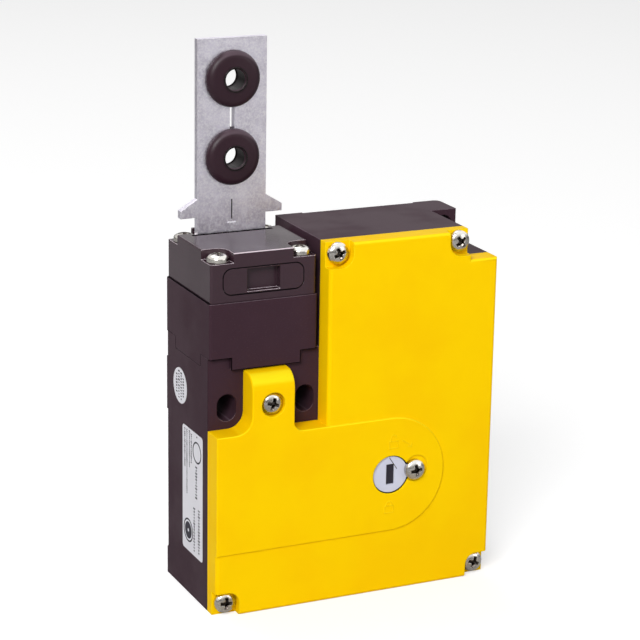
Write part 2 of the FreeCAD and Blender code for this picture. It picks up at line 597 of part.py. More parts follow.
def make_screws():
    """Cover screws, the seal screw beside the release, and the head screws."""
    spots = cover_screw_spots()
    seats = [f"{PANEL} + corner_seat"] * 4 + [f"{FRONT} + ear_seat"]
    places = [(x, seat, z) for (x, z), seat in zip(spots, seats)]
    group("cover_screws", pan_screw("cover_screw", places[0], FACING_FRONT, "screw_length"),
          places)
    seal = pan_screw("release_seal_screw", (SEAL_X, f"{FRONT} + seal_seat", "seal_screw_level"),
                     FACING_FRONT, "screw_length + corner_seat - seal_seat")
    nodes.append(seal.body)
    places = [(x, y, f"{HEAD_TOP} - head_ledge") for x, y in head_screw_spots()]
    group("head_screws", pan_screw("head_screw", places[0], None, "long_screw_length"), places)


# ---------------------------------------------------------------- head
def cut_head_ways(piece):
    """Cuts what the base and the cap share: tongue ways, cam chamber, pin seat, screws."""
    half = "slot_entry_width / 2"
    piece.cut("top", "seam_height + tunnel_floor", HEAD_TOP, box(
        f"{HEAD_X} - {half}", TUNNEL_FRONT, f"{HEAD_X} + {half}", TUNNEL_BACK,
        "slot_entry_round"))
    piece.cut("side", f"{HEAD_X} - chamber_width / 2", f"{HEAD_X} + chamber_width / 2",
              circle(CAM_Y, CAP_LEVEL, "chamber_radius"))
    piece.cut("side", f"{HEAD_X} - cam_pin_length / 2", f"{HEAD_X} + cam_pin_length / 2",
              circle(CAM_Y, CAP_LEVEL, "cam_pin_radius"))
    piece.cut("top", "seam_height", HEAD_TOP,
              *[circle(x, y, "screw_radius + screw_gap") for x, y in head_screw_spots()])


def make_head_base():
    """Lower half of the turnable head, notched over the housing's four posts."""
    piece = Piece("head_base")
    right = f"{LEFT} + head_size"
    piece.add("top", "seam_height", CAP_LEVEL, box(LEFT, HEAD_FRONT, right, HEAD_BACK))
    for x in (LEFT, right):
        piece.soften("Fillet", "head_round", x=x, y=HEAD_FRONT)
    near, far = f"{HEAD_FRONT} + post_side + seam_gap", f"{HEAD_BACK} - post_side - seam_gap"
    inner, outer = f"{LEFT} + post_side + seam_gap", f"{right} - post_right - seam_gap"
    piece.cut("top", "seam_height", "seam_height + post_height",
              box(LEFT, HEAD_FRONT, inner, near), box(LEFT, far, inner, HEAD_BACK),
              box(outer, HEAD_FRONT, right, near), box(outer, far, right, HEAD_BACK))
    cut_head_ways(piece)
    piece.cut("top", "seam_height", CAP_LEVEL, circle(HEAD_X, CAM_Y, "plunger_radius + run_gap"))


def make_head_cap():
    """Upper half of the head with the top and front slots and the screw corners."""
    piece = Piece("head_cap")
    half = "(head_size / 2 - cap_inset)"
    left, right = f"{HEAD_X} - {half}", f"{HEAD_X} + {half}"
    front, back = f"{HEAD_Y} - {half}", f"{HEAD_Y} + {half}"
    piece.add("top", CAP_LEVEL, HEAD_TOP, box(left, front, right, back))
    for x in (left, right):
        piece.soften("Fillet", "head_round", x=x, y=front)
    piece.soften("Fillet", "top_round", z=HEAD_TOP)
    reach = "(head_screw_inset + head_pocket)"
    pockets = []
    for a, x in (("+", left), ("-", right)):
        for b, y in (("+", front), ("-", back)):
            inner_x = f"{HEAD_X} - ({a}1) * (head_size / 2 - {reach})"
            inner_y = f"{HEAD_Y} - ({b}1) * (head_size / 2 - {reach})"
            pockets.append(loop((x, y), (inner_x, y), (inner_x, inner_y, "head_pocket"),
                                (x, inner_y)))
    piece.cut("top", f"{HEAD_TOP} - head_ledge", HEAD_TOP, *pockets)
    cut_head_ways(piece)
    entry = "slot_entry_width / 2"
    piece.cut("front", HEAD_FRONT, TUNNEL_BACK, box(
        f"{HEAD_X} - {entry}", f"{HEAD_TOP} - front_entry_drop - slot_entry_depth",
        f"{HEAD_X} + {entry}", f"{HEAD_TOP} - front_entry_drop", "slot_entry_round"))


def make_slot_plug():
    """Blanking plug that closes the head's unused front slot."""
    piece = Piece("slot_plug")
    face = f"{HEAD_FRONT} + cap_inset"
    half = "(slot_entry_width / 2 - seam_gap)"
    low = f"{HEAD_TOP} - front_entry_drop - slot_entry_depth + seam_gap"
    high = f"{HEAD_TOP} - front_entry_drop - seam_gap"
    piece.add("front", face, f"{face} + plug_flange", box(
        f"{HEAD_X} - {half}", low, f"{HEAD_X} + {half}", high,
        "slot_entry_round - seam_gap"))
    piece.add("front", face, f"{face} + plug_depth", box(
        f"{HEAD_X} - plug_body_width / 2", low, f"{HEAD_X} + plug_body_width / 2", high))
    piece.cut("front", face, f"{face} + plug_recess_depth", box(
        f"{HEAD_X} - plug_recess_width / 2", f"{low} + plug_recess_margin",
        f"{HEAD_X} + plug_recess_width / 2", f"{high} - plug_recess_margin"))


# ---------------------------------------------------------------- tongue
def make_tongue():
    """Stamped tongue: blade, two barbs, a window for the cam and two slit eyes."""
    piece = Piece("tongue_plate")
    near = f"({BACK} - tongue_inset)"
    far = f"({near} + tongue_thickness)"
    half = "tongue_width / 2"
    left, right = f"({HEAD_X} - {half})", f"({HEAD_X} + {half})"
    tip_left, tip_right = f"({HEAD_X} - wing_span / 2)", f"({HEAD_X} + wing_span / 2)"
    tip = "wing_level + wing_tip"
    root = "wing_level + wing_root"
    piece.add("front", near, far, loop(
        (f"{left} + tongue_lead", "tongue_bottom"), (f"{right} - tongue_lead", "tongue_bottom"),
        (right, "tongue_bottom + tongue_lead"), (right, "wing_level"), (tip_right, "wing_level"),
        (tip_right, tip), (right, root), (right, "tongue_top"), (left, "tongue_top"),
        (left, root), (tip_left, tip), (tip_left, "wing_level"), (left, "wing_level"),
        (left, "tongue_bottom + tongue_lead")))
    piece.cut("front", near, far, box(
        f"{HEAD_X} - window_width / 2", "window_bottom", f"{HEAD_X} + window_width / 2",
        "window_top", "slit_width / 2"))
    piece.cut("front", near, far, circle(HEAD_X, "eye_lower", "eye_radius"),
              circle(HEAD_X, "eye_lower + eye_pitch", "eye_radius"))
    piece.cut("front", near, far, box(
        f"{HEAD_X} - slit_width / 2", "eye_lower", f"{HEAD_X} + slit_width / 2",
        "eye_lower + eye_pitch"))


def make_grommets():
    """Two rubber grommets in the tongue's eyes, each lined by a steel sleeve."""
    middle = f"({BACK} - tongue_inset + tongue_thickness / 2)"
    places = [(HEAD_X, middle, "eye_lower"), (HEAD_X, middle, "eye_lower + eye_pitch")]
    grommet = Piece("grommet", at=places[0], turn=FACING_FRONT, listed=False)
    waist, rise = "tongue_thickness / 2", "grommet_rise"
    halves = []
    for sign in ("-", "+"):
        halves.append([("eye_radius", f"{sign}({waist})"), ("grommet_radius", f"{sign}({waist})"),
                       ("grommet_radius", f"{sign}({waist} + {rise} * rim_share)"),
                       ("grommet_radius - rim_slope", f"{sign}({waist} + {rise})"),
                       ("hub_radius + hub_valley", f"{sign}({waist} + {rise})"),
                       ("hub_radius", f"{sign}({waist} + hub_rise)"),
                       ("sleeve_radius", f"{sign}({waist} + hub_rise)")])
    grommet.revolve("Revolution", *reversed(halves[0]), *halves[1])
    group("tongue_grommets", grommet, places)
    sleeve = Piece("sleeve", at=places[0], turn=FACING_FRONT, listed=False)
    reach = f"({waist} + hub_rise)"
    sleeve.revolve("Revolution", ("sleeve_bore", f"-{reach}"), ("sleeve_radius", f"-{reach}"),
                   ("sleeve_radius", reach), ("sleeve_bore", reach))
    group("tongue_sleeves", sleeve, places)


# ---------------------------------------------------------------- head mechanism
def make_cam():
    """Snail cam with one tooth: the tongue's window turns it, its rim lowers the plunger."""
    turn = value("tongue_travel / cam_pitch_radius") + math.radians(value("cam_margin"))
    base, rise = value("cam_radius"), value("cam_rise")
    growth = rise / value("tongue_travel / cam_pitch_radius")

    def rim(angle):
        radius = base + growth * angle
        return FreeCAD.Vector(0, -radius * math.sin(angle), -radius * math.cos(angle))

    spiral = Part.BSplineCurve()
    spiral.interpolate([rim(turn * k / CAM_RIM_POINTS) for k in range(CAM_RIM_POINTS + 1)])
    step_top = rim(turn)
    step_foot = FreeCAD.Vector(step_top).normalize() * base
    middle = FreeCAD.Vector(0, base * math.cos(turn / 2), -base * math.sin(turn / 2))
    outline = Part.Wire([spiral.toShape(), Part.makeLine(step_top, step_foot),
                         Part.Arc(step_foot, middle, rim(0)).toShape()])
    width = value("cam_width")
    body = Part.Face(outline).extrude(FreeCAD.Vector(width, 0, 0))
    tooth_width = value("cam_tooth_width")
    tooth = Part.makeBox(width, value("cam_tooth"), tooth_width,
                         FreeCAD.Vector(0, 0, -tooth_width / 2))
    bore = Part.makeCylinder(value("cam_pin_radius + run_gap"), width, FreeCAD.Vector(),
                             FreeCAD.Vector(1, 0, 0))
    wheel = doc.addObject("Part::Feature", "cam_wheel")
    wheel.Shape = body.fuse(tooth).cut(bore).removeSplitter()
    wheel.setExpression("Placement.Base.x", bound(f"{HEAD_X} - cam_width / 2"))
    wheel.setExpression("Placement.Base.y", bound(CAM_Y))
    wheel.setExpression("Placement.Base.z", bound(CAP_LEVEL))
    nodes.append(wheel)
    pin = Piece("cam_pin", at=(f"{HEAD_X} - cam_pin_length / 2", CAM_Y, CAP_LEVEL))
    pin.add("side", "0", "cam_pin_length", circle("0", "0", "cam_pin_radius"))


def make_plunger():
    """Drive plunger under the cam, its seal, and the two contact bridges it carries."""
    piece = Piece("drive_plunger", at=(HEAD_X, CAM_Y, "0"))
    top = f"({CAP_LEVEL} - cam_radius - plunger_gap)"
    piece.revolve(
        "Revolution", ("0", "plunger_bottom"), ("plunger_radius", "plunger_bottom"),
        ("plunger_radius", "plunger_shoulder"), ("plunger_collar", "plunger_shoulder"),
        ("plunger_collar", "plunger_shoulder + collar_height"),
        ("plunger_radius", "plunger_shoulder + collar_height"),
        ("plunger_radius", f"{top} - plunger_dome"), ("plunger_radius - plunger_dome", top),
        ("0", top))
    seal = Piece("plunger_seal", at=(HEAD_X, CAM_Y, "seam_height - seal_height"))
    seal.revolve("Revolution", ("plunger_radius + run_gap", "0"), ("seal_radius", "0"),
                 ("seal_radius", "seal_height"), ("plunger_radius + run_gap", "seal_height"))
    for label, level in (("upper_contact_bridge", "upper_contact"),
                         ("lower_contact_bridge", "upper_contact - contact_pitch")):
        bridge = Piece(label, at=(HEAD_X, CAM_Y, level))
        bridge.add("top", "-bridge_thickness / 2", "bridge_thickness / 2", box(
            "-bridge_length / 2", "-bridge_width / 2", "bridge_length / 2",
            "bridge_width / 2", "bridge_thickness / 2"))
        bridge.cut("top", "-bridge_thickness / 2", "bridge_thickness / 2",
                   circle("0", "0", "plunger_radius"))


def helix_spring(label, radius, wire, turns, low, high, x, y):
    """Compression spring about an upright axis between two levels."""
    wire_radius = value(wire)
    height = value(f"({high}) - ({low})") - 2 * wire_radius
    coil = Part.makeHelix(height / value(turns), height, value(radius))
    angles = [math.tau * k / WIRE_SIDES for k in range(WIRE_SIDES + 1)]
    section = Part.makePolygon([
        FreeCAD.Vector(value(radius) + wire_radius * math.cos(angle), 0,
                       wire_radius * math.sin(angle)) for angle in angles])
    spring = doc.addObject("Part::Feature", label)
    spring.Shape = Part.Wire(coil).makePipeShell([section], True, True)
    for axis, text in zip("xyz", (x, y, f"{low} + {wire}")):
        spring.setExpression(f"Placement.Base.{axis}", bound(text))
    nodes.append(spring)


def contact_levels():
    """Returns the undersides of the fixed contacts, the upper pair first."""
    rise = "bridge_thickness / 2 + contact_gap"
    return [f"(upper_contact + {rise})", f"(upper_contact - contact_pitch + {rise})"]


def make_contacts():
    """Contact block with a window for each bridge, four fixed contacts and screws."""
    block = Piece("contact_block")
    front = f"({BACK} - block_front)"
    block.add("front", front, CAVITY_BACK, box(f"{LEFT} + block_left", "block_bottom",
                                        f"{LEFT} + block_right", "block_top"))
    block.cut("top", "block_bottom", "block_top",
              circle(HEAD_X, CAM_Y, "plunger_radius + lock_gap"))
    contacts, places = [], []
    for level, level_name in zip(contact_levels(), ("upper", "lower")):
        top = f"({level} + contact_thickness)"
        block.cut("top", f"{level} - bridge_thickness - 2 * contact_gap - plunger_travel", top, box(
            f"{HEAD_X} - window_reach", f"{CAM_Y} - window_half", f"{HEAD_X} + window_reach",
            f"{CAM_Y} + window_half", "cavity_round"))
        for sign, side in (("-", "left"), ("+", "right")):
            middle = f"({HEAD_X} {sign} contact_offset)"
            left, right = f"{middle} - contact_width / 2", f"{middle} + contact_width / 2"
            block.cut("front", front, f"{CAM_Y} - window_half", box(left, level, right, top))
            contact = Piece(f"{level_name}_{side}_contact")
            contact.add("front", front, f"{CAM_Y} + bridge_width / 2 - contact_gap",
                        box(left, level, right, top))
            contact.add("front", f"{front} - contact_thickness", front, box(
                f"{middle} - terminal_size / 2", f"{top} - terminal_size",
                f"{middle} + terminal_size / 2", top))
            screw_level = f"({top} - terminal_size + terminal_screw)"
            hole = circle(middle, screw_level, "terminal_thread + thread_gap")
            contact.cut("front", f"{front} - contact_thickness", front, hole)
            block.cut("front", front, f"{front} + terminal_length", hole)
            contacts.append(contact)
            places.append((middle, f"{front} - contact_thickness", screw_level))
    screw = pan_screw("terminal_screw", places[0], FACING_FRONT,
                      "terminal_length", "terminal_thread", "terminal_screw", "terminal_head")
    group("terminal_screws", screw, places)


# ---------------------------------------------------------------- lock
def make_lock():
    """Lock slide with its slanted slot, the guide it runs in, and the pin that drives it."""
    piece = Piece("lock_slide")
    half = "lock_depth / 2"
    tip = f"({HEAD_X} + plunger_radius + lock_gap)"
    low, high = "lock_level", "lock_level + lock_height"
    piece.add("front", f"{COIL_Y} - {half}", f"{COIL_Y} + {half}",
              box(tip, low, f"{LEFT} + lock_plate_left + lock_plate_thickness", high))
    plate_back = f"({COIL_Y} - {half})"
    plate_front = f"({plate_back} - lock_plate_thickness)"
    piece.add("front", plate_front, plate_back, box(
        f"{LEFT} + lock_plate_left", "lock_plate_bottom", f"{LEFT} + lock_plate_right",
        "lock_plate_top", "cavity_round"))
    piece.cut("front", plate_front, plate_back,
              obround("0", "0", "2 * lock_pin_radius + release_gap",
                      "2 * lock_pin_radius + release_gap + lock_travel * sqrt(2)"),
              angle=LOCK_SLOT_SLANT,
              at=(f"{COIL_X} - lock_travel / 2", "lock_pin_level + lock_travel / 2"))
    guide = Piece("lock_guide")
    guide.add("side", f"{LEFT} + guide_left", f"{LEFT} + guide_right", box(
        f"{COIL_Y} - {half} - side_wall", "floor_height", CAVITY_BACK, f"{high} + side_wall"))
    guide.cut("side", f"{LEFT} + guide_left", f"{LEFT} + guide_right", box(
        f"{COIL_Y} - {half} - guide_gap", f"{low} - guide_gap", f"{COIL_Y} + {half} + guide_gap",
        f"{high} + guide_gap"))
    pin = Piece("lock_pin", at=(COIL_X, "0", "lock_pin_level"))
    pin.add("front", f"{plate_front} - contact_thickness", COIL_Y,
            circle("0", "0", "lock_pin_radius"))


def make_solenoid():
    """Yoke, bobbin, winding, core and armature of the lock's solenoid."""
    half = "yoke_width / 2"
    yoke = Piece("solenoid_yoke")
    yoke.add("front", f"{COIL_Y} - yoke_depth / 2", f"{COIL_Y} + yoke_depth / 2",
             box(f"{COIL_X} - {half}", "yoke_bottom", f"{COIL_X} + {half}", "yoke_top",
                 "cavity_round"))
    inside = f"({half} - yoke_plate)"
    low, high = "(yoke_bottom + yoke_plate)", "(yoke_top - yoke_plate)"
    yoke.cut("front", f"{COIL_Y} - yoke_depth / 2", f"{COIL_Y} + yoke_depth / 2",
             box(f"{COIL_X} - {inside}", low, f"{COIL_X} + {inside}", high))
    yoke.cut("top", "yoke_bottom", low, circle(COIL_X, COIL_Y, "rod_radius + guide_gap"))
    yoke.cut("top", high, "yoke_top", circle(COIL_X, COIL_Y, "core_neck"))
    at = (COIL_X, COIL_Y, "0")
    flange = "(coil_radius + run_gap)"
    bobbin = Piece("solenoid_bobbin", at=at)
    bobbin.revolve(
        "Revolution", ("bobbin_bore", low), (flange, low), (flange, f"{low} + bobbin_flange"),
        ("bobbin_tube", f"{low} + bobbin_flange"), ("bobbin_tube", f"{high} - bobbin_flange"),
        (flange, f"{high} - bobbin_flange"), (flange, high), ("bobbin_bore", high))
    coil = Piece("solenoid_coil", at=at)
    coil.revolve(
        "Revolution", ("bobbin_tube", f"{low} + bobbin_flange"),
        ("coil_radius", f"{low} + bobbin_flange"), ("coil_radius", f"{high} - bobbin_flange"),
        ("bobbin_tube", f"{high} - bobbin_flange"))
    core = Piece("solenoid_core", at=at)
    core.revolve(
        "Revolution", ("0", "armature_top + core_gap"),
        ("armature_radius", "armature_top + core_gap"), ("armature_radius", high),
        ("core_neck", high), ("core_neck", "yoke_top"), ("0", "yoke_top"))
    armature = Piece("armature", at=at)
    armature.revolve(
        "Revolution", ("0", "rod_bottom"), ("rod_radius", "rod_bottom"),
        ("rod_radius", "collar_level"), ("collar_radius", "collar_level"),
        ("collar_radius", "collar_level + collar_thickness"),
        ("rod_radius", "collar_level + collar_thickness"), ("rod_radius", f"{low} + guide_gap"),
        ("armature_radius", f"{low} + guide_gap"), ("armature_radius", "armature_top"),
        ("0", "armature_top"))
    armature.cut("front", "-rod_radius", "0", circle("0", "lock_pin_level", "lock_pin_radius"))
    armature.cut("top", "collar_level", "collar_level + collar_thickness", box(
        "collar_flat", "-collar_radius", "collar_radius", "collar_radius"))


def make_release():
    """Auxiliary release: slotted disc with a shaft and crank pin, its ring and clip."""
    disc = f"{FRONT} + release_sink"
    back = f"{disc} + release_thickness"
    piece = Piece("release_spindle", at=(RELEASE_X, "0", "release_level"))
    piece.add("front", disc, back, circle("0", "0", "release_radius"))
    piece.add("front", back, f"{BACK} - release_end", circle("0", "0", "release_shaft"))
    piece.add("front", f"{BACK} - release_end", f"{BACK} - crank_end",
              circle("0", "-crank_radius", "crank_pin"))
    piece.cut("front", disc, f"{disc} + key_slot_depth", box(
        "-key_slot_width / 2", "-key_slot_length / 2", "key_slot_width / 2",
        "key_slot_length / 2"))
    clip_low = f"{BACK} - clip_level - clip_thickness - release_gap / 2"
    clip_high = f"{BACK} - clip_level + release_gap / 2"
    piece.cut("front", clip_low, clip_high, circle("0", "0", "release_shaft + run_gap"),
              circle("0", "0", "clip_groove"))
    clip = Piece("release_clip", at=(RELEASE_X, "0", "release_level"))
    clip.add("front", f"{BACK} - clip_level - clip_thickness", f"{BACK} - clip_level",
             circle("0", "0", "clip_radius"), circle("0", "0", "clip_groove"))
    clip.cut("front", f"{BACK} - clip_level - clip_thickness", f"{BACK} - clip_level",
             box("-clip_groove * clip_mouth", "-clip_radius", "clip_groove * clip_mouth", "0"))
    ring = Piece("release_ring", at=(RELEASE_X, f"{back} + ring_section + guide_gap",
                                     "release_level"), turn=FACING_FRONT)
    middle, flat = "release_shaft + ring_section + guide_gap", "ring_section / 2"
    ring.revolve("Revolution", (f"{middle} - ring_section", minus(flat)),
                 (f"{middle} - {flat}", minus("ring_section")),
                 (f"{middle} + {flat}", minus("ring_section")),
                 (f"{middle} + ring_section", minus(flat)), (f"{middle} + ring_section", flat),
                 (f"{middle} + {flat}", "ring_section"), (f"{middle} - {flat}", "ring_section"),
                 (f"{middle} - ring_section", flat))


def make_terminals():
    """Switch that watches the lock slide, and the terminal strip for the solenoid."""
    left, right = f"{LEFT} + monitor_left", f"{RIGHT} - monitor_right"
    front = f"{BACK} - monitor_front"
    switch = Piece("monitor_switch")
    switch.add("front", front, CAVITY_BACK, box(left, "monitor_bottom", right, "monitor_top",
                                                "label_round"))
    middle = "(lock_plate_bottom + lock_plate_top) / 2"
    button_y = f"({COIL_Y} - lock_depth / 2 - lock_plate_thickness / 2)"
    switch.add("side", f"{left} - button_reach", left, circle(
        button_y, middle, "lock_plate_thickness / 2"))
    strip = Piece("terminal_strip")
    face = f"{BACK} - strip_front"
    strip_left, strip_right = f"{LEFT} + strip_left", f"{RIGHT} - strip_right"
    strip.add("front", face, CAVITY_BACK,
              box(strip_left, "strip_bottom", strip_right, "strip_top"))
    x = f"({strip_left} + {strip_right}) / 2"
    pitch = "(strip_top - strip_bottom) / 3"
    places = [(x, face, f"strip_bottom + {pitch} * ({k} + 0.5)") for k in range(3)]
    for _, _, z in places:
        strip.cut("front", face, f"{face} + terminal_length",
                  circle(x, z, "terminal_thread + thread_gap"))
    screw = pan_screw("strip_screw", places[0], FACING_FRONT, "terminal_length",
                      "terminal_thread", "terminal_screw", "terminal_head")
    group("strip_screws", screw, places)


# ---------------------------------------------------------------- build
make_housing()
make_cover()
make_gasket()
make_labels()
make_side_plug()
make_screws()
make_head_base()
make_head_cap()
make_slot_plug()
make_tongue()
make_grommets()
make_cam()
make_plunger()
helix_spring("plunger_spring", "plunger_collar - spring_wire", "spring_wire",
             "plunger_spring_turns", "block_top", "plunger_shoulder", HEAD_X, CAM_Y)
make_contacts()
make_lock()
make_solenoid()
helix_spring("armature_spring", "rod_radius + guide_gap + 2 * spring_wire", "spring_wire",
             "armature_spring_turns", "collar_level + collar_thickness", "yoke_bottom",
             COIL_X, COIL_Y)
make_release()
make_terminals()
doc.recompute()

failed = [item.Label for item in doc.Objects if {"Invalid", "Error"} & set(item.State)]
failed += [node.Label for node in nodes if node.Shape.isNull() or not node.Shape.isValid()]
if failed:
    raise RuntimeError(f"these did not build: {', '.join(failed)}")

os.makedirs("parts", exist_ok=True)
for node in nodes:
    node.Shape.exportStep(f"parts/{node.Label}.step")
    print(f"{node.Label}: {len(node.Shape.Solids)} solid(s), {node.Shape.Volume:.1f} mm3")
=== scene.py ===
"""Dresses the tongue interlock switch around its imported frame.

Lengths inside the classes are millimetres; MM turns them into the frame's
metres. Every piece is a plain mesh at the origin with its place in its
vertices, and each one rides on the body that carries the real piece.
"""
import json
import logging
import math
from collections.abc import Callable, Iterable, Mapping, Sequence
from dataclasses import dataclass
from enum import Enum
from typing import Any

import bmesh
import bpy
from bmesh.types import BMesh, BMVert
from bpy.types import Material, Mesh, Node, NodeSocket, NodeTree, Object
from mathutils import Matrix, Vector

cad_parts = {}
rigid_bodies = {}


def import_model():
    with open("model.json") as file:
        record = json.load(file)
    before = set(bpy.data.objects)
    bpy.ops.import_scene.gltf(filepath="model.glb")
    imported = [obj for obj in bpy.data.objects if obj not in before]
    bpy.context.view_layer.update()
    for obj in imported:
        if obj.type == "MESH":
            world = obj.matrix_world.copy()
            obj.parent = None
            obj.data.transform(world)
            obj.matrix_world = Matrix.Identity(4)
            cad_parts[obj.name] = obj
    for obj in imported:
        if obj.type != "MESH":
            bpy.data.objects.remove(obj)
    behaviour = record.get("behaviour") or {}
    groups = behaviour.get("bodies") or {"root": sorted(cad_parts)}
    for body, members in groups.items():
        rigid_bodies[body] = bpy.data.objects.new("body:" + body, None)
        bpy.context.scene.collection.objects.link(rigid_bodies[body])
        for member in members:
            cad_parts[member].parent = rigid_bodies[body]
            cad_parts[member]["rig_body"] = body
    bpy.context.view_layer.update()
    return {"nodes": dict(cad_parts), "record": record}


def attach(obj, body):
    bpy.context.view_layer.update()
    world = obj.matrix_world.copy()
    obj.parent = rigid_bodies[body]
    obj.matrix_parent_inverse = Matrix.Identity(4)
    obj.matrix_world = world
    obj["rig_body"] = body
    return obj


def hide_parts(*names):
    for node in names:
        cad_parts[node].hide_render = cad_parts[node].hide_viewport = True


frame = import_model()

log = logging.getLogger("interlock")
MM = 0.001
Spot = tuple[float, float]
Point = tuple[float, float, float]
Colour = tuple[float, float, float]
Source = Any
Sockets = Mapping[str, NodeSocket]


def reach(name: str) -> tuple[Vector, Vector]:
    """Measures one of the frame's nodes.

    Args:
        name: The node's name.

    Returns:
        Its least and its greatest corner, in millimetres.
    """
    node = frame["nodes"][name]
    spots = [node.matrix_world @ Vector(corner) / MM for corner in node.bound_box]
    low, high = ([pick(spot[axis] for spot in spots) for axis in range(3)] for pick in (min, max))
    return Vector(low), Vector(high)


# The head's sides, levels and axis, the cover's face and the release disc.
LEFT, FRONT, SEAM = reach("head_base")[0]
RIGHT, BACK, CAP_LEVEL = reach("head_base")[1]
HEAD_X, HEAD_Y, HEAD_TOP = (LEFT + RIGHT) / 2, (FRONT + BACK) / 2, reach("head_cap")[1].z
FACE = reach("cover")[0].y
DISC_LOW, DISC_HIGH = reach("release_spindle")
RELEASE = ((DISC_LOW.x + DISC_HIGH.x) / 2, (DISC_LOW.z + DISC_HIGH.z) / 2)


class Facing(Enum):
    """Which way a fastener's head looks."""

    COVER = (math.pi / 2, 0.0, 0.0)
    TOP = (0.0, 0.0, 0.0)


class Lay(Enum):
    """The stretch that turns round noise into drawn or rolled lines."""

    UPRIGHT = (1.0, 1.0, 0.06)
    ACROSS = (0.06, 1.0, 1.0)
    EVEN = (1.0, 1.0, 1.0)


# ------------------------------------------------------------------ shader tools
class Graph:
    """Adds nodes to a node tree, each with its inputs set or linked at once."""

    def __init__(self, tree: NodeTree) -> None:
        """Wraps an empty or existing node tree."""
        self.tree = tree

    def node(self, kind: str, inputs: dict[str | int, Source] | None = None,
             **settings: Any) -> Node:
        """Adds one node.

        Args:
            kind: The node's type name in Blender.
            inputs: A socket to link or a value to set, by input name or number.
            **settings: Properties of the node itself.

        Returns:
            The new node.
        """
        made = self.tree.nodes.new(kind)
        for name, setting in settings.items():
            setattr(made, name, setting)
        for key, source in (inputs or {}).items():
            if isinstance(source, NodeSocket):
                self.tree.links.new(source, made.inputs[key])
            else:
                made.inputs[key].default_value = source
        return made

    def math(self, operation: str, *terms: Source) -> NodeSocket:
        """Adds a Math node and returns its value."""
        return self.node("ShaderNodeMath", dict(enumerate(terms)), operation=operation).outputs[0]

    def ramp(self, value: Source, low: float, high: float,
             start: float = 0.0, end: float = 1.0) -> NodeSocket:
        """Maps a value smoothly from one range to another and returns the result."""
        return self.node("ShaderNodeMapRange", {
            "Value": value, "From Min": low, "From Max": high, "To Min": start,
            "To Max": end}, interpolation_type="SMOOTHSTEP").outputs["Result"]

    def blend(self, amount: Source, first: Source, second: Source) -> NodeSocket:
        """Mixes two colours and returns the result."""
        return self.node("ShaderNodeMix", {0: amount, 6: first, 7: second},
                         data_type="RGBA").outputs[2]

    def noise(self, place: Source, scale: Source, detail: float = 2.0,
              roughness: float = 0.5) -> NodeSocket:
        """Adds round noise at a scale in waves per metre and returns its value."""
        return self.node("ShaderNodeTexNoise", {
            "Vector": place, "Scale": scale, "Detail": detail,
            "Roughness": roughness}).outputs[0]

    def along(self, axis: str, vector: Source) -> NodeSocket:
        """Returns a vector's part along one axis."""
        return self.node("ShaderNodeSeparateXYZ", {0: vector}).outputs[axis]


def shader_group(name: str, inputs: Mapping[str, str], outputs: Sequence[str],
                 fill: Callable[[Graph, Sockets], Sequence[NodeSocket]]) -> NodeTree:
    """Builds a shader node group with named inputs, and outputs that are all values.

    Args:
        name: The group's name.
        inputs: The kind of each input, Vector or Float, by its name.
        outputs: The outputs' names.
        fill: Called with the graph and the inputs; returns a socket for each output.

    Returns:
        The new group.
    """
    tree = bpy.data.node_groups.new(name, "ShaderNodeTree")
    for label, kind in inputs.items():
        tree.interface.new_socket(name=label, in_out="INPUT", socket_type="NodeSocket" + kind)
    for label in outputs:
        tree.interface.new_socket(name=label, in_out="OUTPUT", socket_type="NodeSocketFloat")
    graph = Graph(tree)
    results = fill(graph, graph.node("NodeGroupInput").outputs)
    graph.node("NodeGroupOutput", dict(zip(outputs, results)))
    return tree


def moulded_grain() -> NodeTree:
    """Builds the group for spark-eroded grain with slow mottling under it."""
    def fill(graph: Graph, entry: Sockets) -> Sequence[NodeSocket]:
        """Adds the group's nodes.

        Args:
            graph: The group's graph.
            entry: Its inputs.

        Returns:
            The height, the tone and the flecks.
        """
        place, fineness = entry["Place"], entry["Fineness"]
        fine = graph.noise(place, fineness, 3.0, 0.6)
        cells = graph.node("ShaderNodeTexVoronoi", {
            "Vector": place, "Scale": graph.math("MULTIPLY", fineness, 0.7)}).outputs["Distance"]
        height = graph.math("ADD", graph.math("MULTIPLY", fine, 0.65),
                            graph.math("MULTIPLY", cells, 0.35))
        slow = graph.noise(place, 46.0, 3.0)
        return height, graph.ramp(slow, 0.35, 0.68), graph.ramp(fine, 0.55, 0.78)
    return shader_group("moulded grain", {"Place": "Vector", "Fineness": "Float"},
                        ("Height", "Tone", "Speck"), fill)


def drawn_lines() -> NodeTree:
    """Builds the group for rolled, drawn or tumbled metal."""
    def fill(graph: Graph, entry: Sockets) -> Sequence[NodeSocket]:
        """Adds the group's nodes.

        Args:
            graph: The group's graph.
            entry: Its inputs.

        Returns:
            The height, the tone and the scratches.
        """
        place = graph.node("ShaderNodeVectorMath", {0: entry["Place"], 1: entry["Lay"]},
                           operation="MULTIPLY").outputs[0]
        lines = graph.noise(place, entry["Fineness"], 4.0, 0.65)
        cloud = graph.noise(entry["Place"], 210.0, 4.0)
        return lines, graph.ramp(cloud, 0.3, 0.72), graph.ramp(lines, 0.35, 0.7)
    return shader_group("drawn lines", {"Place": "Vector", "Lay": "Vector", "Fineness": "Float"},
                        ("Height", "Tone", "Scratch"), fill)


